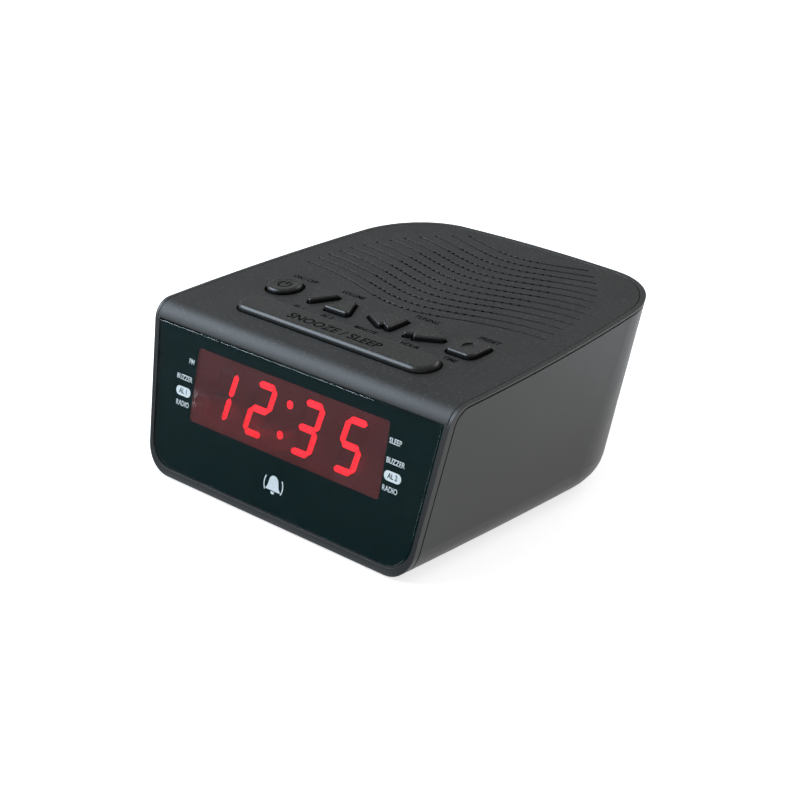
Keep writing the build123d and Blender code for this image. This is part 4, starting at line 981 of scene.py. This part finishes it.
bar_low, bar_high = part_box("snooze_bar")
bar_x = (bar_low.x + bar_high.x) / 2
bar_y = (bar_high.y - bar_low.y) / 2 - BAR_DROP
bar_word = word(
    "SNOOZE / SLEEP", BAR_LETTER, BAR, bar_x, bar_y, WORD_LIFT, weight=STROKE_EXTRA, width=BAR_WORD_WIDTH
)
# Like the panel words, these letters are painted shade for strokes sunk into the bar.
joined("snooze_lettering", [bar_word], sunk, "snooze_button")

# %% [markdown]
# Two marks need no words: a ring with a stroke on the power key, and a ringing bell in white
# under the display. They could come from a picture, but a few arcs make them sharp at any
# size, and filled loops give thin faces like those of the lettering.

# %% Icon tools
ARC_STEPS = 24


def arc_strip(x, y, radius, half_width, start, end):
    """Points round a strip that follows an arc; angles in degrees."""
    points = []
    for r, turn in ((radius + half_width, 1), (radius - half_width, -1)):
        for step in range(ARC_STEPS + 1)[::turn]:
            angle = math.radians(start + (end - start) * step / ARC_STEPS)
            points.append((x + r * math.cos(angle), y + r * math.sin(angle)))
    return points


def icon(name, loops, plane, height, finish, body):
    """Several flat shapes as one piece on a body."""
    parts = [filled(name + "_part", [loop], plane, height) for loop in loops]
    joined(name, [part.data for part in parts], finish, body)
    for part in parts:
        bpy.data.objects.remove(part)


print("icon tools: arc_strip, icon")

# %% [markdown]
# The power mark lies just over the bottom of the key's round hollow, so its height is taken
# from the key's highest point less the depth of the hollow. It goes down with the key.

# %% The power mark
RING_R = 2.2 * MM
RING_HALF = 0.28 * MM
RING_START = 125
RING_END = 415
STROKE_FOOT = 0.4 * MM
STROKE_OVER = 0.7 * MM
HOLLOW = 0.26 * MM

power_low, power_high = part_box("power_key")
ring_x = (power_low.x + power_high.x) / 2
ring_y = (to_top @ ((power_low + power_high) / 2)).y
key_proud = max((to_top @ v.co).z for v in nodes["power_key"].data.vertices)
stroke = rounded_rectangle(
    ring_x - RING_HALF, ring_x + RING_HALF, ring_y + STROKE_FOOT, ring_y + RING_R + STROKE_OVER,
    RING_HALF / 2
)
power_loops = [arc_strip(ring_x, ring_y, RING_R, RING_HALF, RING_START, RING_END), stroke]
# The mark takes the same near-black finish, the painted shade of sunk strokes.
icon("power_icon", power_loops, TOP, key_proud - HOLLOW, sunk, "power_button")

# %% [markdown]
# The bell is one side of an outline, given in millimetres from its middle, and mirrored. A
# half ring hangs under it as the clapper, and an arc on each side makes it ring.

# %% The bell
BELL_X = -1.5 * MM
BELL_Y = 8.9 * MM
BELL_SIDE = [(0.0, 3.0), (0.9, 2.8), (1.7, 2.2), (2.1, 1.3), (2.3, 0.2), (2.6, -0.8), (3.2, -1.5),
             (3.2, -1.9)]
CLAPPER_DROP = 2.2 * MM
CLAPPER_R = 0.45 * MM
CLAPPER_HALF = 0.40 * MM
SOUND_R = 4.2 * MM
SOUND_HALF = 0.22 * MM
SOUND_ANGLE = 32

bell = [(BELL_X + x * MM, BELL_Y + y * MM) for x, y in BELL_SIDE]
bell += [(BELL_X - x * MM, BELL_Y + y * MM) for x, y in BELL_SIDE[:0:-1]]
clapper = arc_strip(BELL_X, BELL_Y - CLAPPER_DROP, CLAPPER_R, CLAPPER_HALF, 180, 359)
rings = [
    arc_strip(BELL_X, BELL_Y, SOUND_R, SOUND_HALF, a - SOUND_ANGLE, a + SOUND_ANGLE) for a in (0, 180)
]
icon("bell_icon", [bell, clapper, *rings], LENS, print_height, white_print, "case")

# %% [markdown]
# Inside, every piece has the finish of its trade. Screws, frames, shields and springs are
# metal, which differs in tone and in how dull it is, so metals share one recipe with a tone and
# a roughness each. It is darker in patches and brighter along the edges.

# %% Finishes: metals
METAL_GRAIN = 2500.0
METAL_EDGE = 0.0002
METAL_RELIEF = 0.000004
METAL_SWING = 0.08


def metal(name, tone, rough):
    """Bright or dull metal, darker in patches and brighter along its edges."""
    material, tree, shader = new_finish(name, Metallic=1.0)
    texture = place_effect(tree, grain_effect, Scale=METAL_GRAIN)
    edge = place_effect(tree, edge_effect, Radius=METAL_EDGE)
    tarnished = tuple(0.85 * c for c in tone)
    rubbed = tuple(min(1, 1.2 * c) for c in tone)
    colour = blend(tree, texture.outputs["Patch"], tarnished, tone)
    wire(tree, blend(tree, edge.outputs["Wear"], colour, rubbed), shader.inputs["Base Color"])
    swing = spread(tree, texture.outputs["Patch"], rough - METAL_SWING, rough + METAL_SWING)
    wire(tree, swing, shader.inputs["Roughness"])
    bump(tree, shader, texture.outputs["Height"], METAL_RELIEF, edge.outputs["Normal"])
    return material


dress(metal("screw steel", (0.45, 0.45, 0.46), 0.35), "screw_steel", "case_screws", "display_board_screws",
      "key_board_screws", "main_board_screws", "speaker_screws", "transformer_screws")
dress(metal("pressed steel", (0.34, 0.34, 0.35), 0.48), "pressed_steel", "speaker_frame", "transformer_core")
dress(metal("tinned steel", (0.62, 0.62, 0.60), 0.30), "tinned_steel", "tuner_cans", "transformer_ears",
      "battery_contacts", "battery_springs")

# %% [markdown]
# Rubber, nylon, paper, ferrite, epoxy and a capacitor's sleeve are told apart by tone, gloss and
# grain. The moulded recipe has an input for each, so it serves them all. The battery door is
# moulded from the same plastic as the case.

# %% Finishes: rubber, nylon, paper and other plain stuffs
rubber = moulded("rubber", (0.012, 0.012, 0.012), (0.03, 0.03, 0.03), rough=0.75, grain=2500.0,
                 depth=0.00002, gloss=0.3)
dress(rubber, "rubber", "rubber_feet", "cord_grommet")
dress(shell_finish, "shell_plastic", "battery_door")
plungers = [name.replace("_key", "").replace("_bar", "") + "_plunger" for name in KEYS]
nylon = moulded("switch nylon", (0.025, 0.025, 0.026), (0.06, 0.06, 0.06), rough=0.5, grain=3000.0,
                depth=0.000008)
dress(nylon, "switch_plastic", "tact_switches", *plungers)
paper = moulded("cone paper", (0.035, 0.034, 0.032), (0.08, 0.08, 0.075), rough=0.85, grain=1600.0,
                depth=0.00005, gloss=0.1)
dress(paper, "paper_cone", "speaker_cone", "speaker_dust_cap")
ferrite = moulded("ferrite", (0.06, 0.06, 0.064), (0.16, 0.16, 0.16), rough=0.6, grain=2200.0,
                  depth=0.00003)
dress(ferrite, "ferrite", "speaker_magnet", "ferrite_rod")
epoxy = moulded("chip epoxy", (0.020, 0.020, 0.021), (0.06, 0.06, 0.06), rough=0.6, grain=5000.0,
                depth=0.00001)
dress(epoxy, "chip_epoxy", "chips")
sleeve = moulded("capacitor sleeve", (0.03, 0.04, 0.12), (0.10, 0.12, 0.25), rough=0.28, grain=900.0,
                 depth=0.000004)
dress(sleeve, "capacitor_sleeve", "capacitors")
natural = moulded("natural nylon", (0.68, 0.68, 0.63), (0.8, 0.8, 0.76), rough=0.45, grain=2500.0,
                  depth=0.00001)
dress(natural, "white_nylon", "rod_holders")

# %% [markdown]
# Enamelled wire lies turn by turn on the coils, and a flat lead is a row of sleeved wires.
# Single wires would be far too many faces for something seen only when the case is open, so a
# wave texture makes a striped relief, with painted shade in the valleys and a painted highlight
# on the crowns.

# %% Effect and finishes: striped relief
STRAND_GRAIN = 1800.0
STRAND_SHADE = 0.3
STRAND_SWING = 0.06


def make_stripe_effect():
    """Parallel round strands across one axis of the piece, as height."""
    tree, given, result = new_effect("strands", {"Scale": 200.0}, {"Height": "Float"})
    wave = add(tree, "TexWave", bands_direction="X")
    place = add(tree, "TexCoord")
    wire(tree, place.outputs["Object"], wave.inputs["Vector"])
    wire(tree, given.outputs["Scale"], wave.inputs["Scale"])
    wave.inputs["Distortion"].default_value = 0.3
    wire(tree, wave.outputs["Fac"], result.inputs["Height"])
    return tree


stripe_effect = make_stripe_effect()


def stranded(name, dark, pale, scale, depth, rough, gloss):
    """Strands side by side: painted shade in the valleys and a painted highlight on the crowns."""
    material, tree, shader = new_finish(name, Specular_IOR_Level=gloss)
    strands = place_effect(tree, stripe_effect, Scale=scale)
    texture = place_effect(tree, grain_effect, Scale=STRAND_GRAIN)
    # Painted shade in the valleys, painted highlight on the crowns.
    colour = blend(tree, strands.outputs["Height"], dark, pale)
    shade = spread(tree, texture.outputs["Patch"], 0, STRAND_SHADE)
    wire(tree, blend(tree, shade, colour, dark), shader.inputs["Base Color"])
    swing = spread(tree, texture.outputs["Patch"], rough - STRAND_SWING, rough + STRAND_SWING)
    wire(tree, swing, shader.inputs["Roughness"])
    bump(tree, shader, strands.outputs["Height"], depth)
    return material


copper = stranded("copper wire", (0.20, 0.07, 0.03), (0.62, 0.26, 0.10), scale=420.0, depth=0.0001,
                  rough=0.35, gloss=0.8)
dress(copper, "copper_wire", "aerial_coil", "transformer_winding")
ribbon = stranded("ribbon lead", (0.25, 0.25, 0.25), (0.55, 0.55, 0.55), scale=180.0, depth=0.0002,
                  rough=0.5, gloss=0.4)
dress(ribbon, "ribbon_lead", "display_ribbon", "key_ribbon")

# %% [markdown]
# The boards are brown phenolic, with copper tracks that show faintly through the varnish. Real
# tracks would have to be drawn one by one for a board that is rarely seen, so the joints of a
# brick texture stand in for them, as a paler colour and a low relief.

# %% Finish: circuit boards
TRACK_SCALE = 120.0
TRACK_WIDTH = 0.03
TRACK_TONE = (0.45, 0.26, 0.12)
BOARD_GRAIN = 1400.0
BOARD_TONES = ((0.24, 0.14, 0.05), (0.36, 0.23, 0.09))
BOARD_WORN = (0.5, 0.38, 0.2)


def make_board_finish():
    """Brown phenolic with a printed pattern of tracks showing through its varnish."""
    material, tree, shader = new_finish("circuit board", Specular_IOR_Level=0.5)
    place = add(tree, "TexCoord")
    tracks = add(tree, "TexBrick")
    wire(tree, place.outputs["Object"], tracks.inputs["Vector"])
    tracks.inputs["Scale"].default_value = TRACK_SCALE
    tracks.inputs["Mortar Size"].default_value = TRACK_WIDTH
    texture = place_effect(tree, grain_effect, Scale=BOARD_GRAIN)
    edge = place_effect(tree, edge_effect, Radius=0.0002)
    phenolic = blend(tree, texture.outputs["Patch"], *BOARD_TONES)
    colour = blend(tree, tracks.outputs["Fac"], phenolic, TRACK_TONE)
    wire(tree, blend(tree, edge.outputs["Wear"], colour, BOARD_WORN), shader.inputs["Base Color"])
    wire(tree, spread(tree, tracks.outputs["Fac"], 0.55, 0.35), shader.inputs["Roughness"])
    bump(tree, shader, tracks.outputs["Fac"], 0.00004, edge.outputs["Normal"])
    return material


dress(make_board_finish(), "circuit_board", "display_board", "key_board", "main_board")
bare = [name for name in nodes if not nodes[name].data.materials]
print("nodes without a finish:", bare)
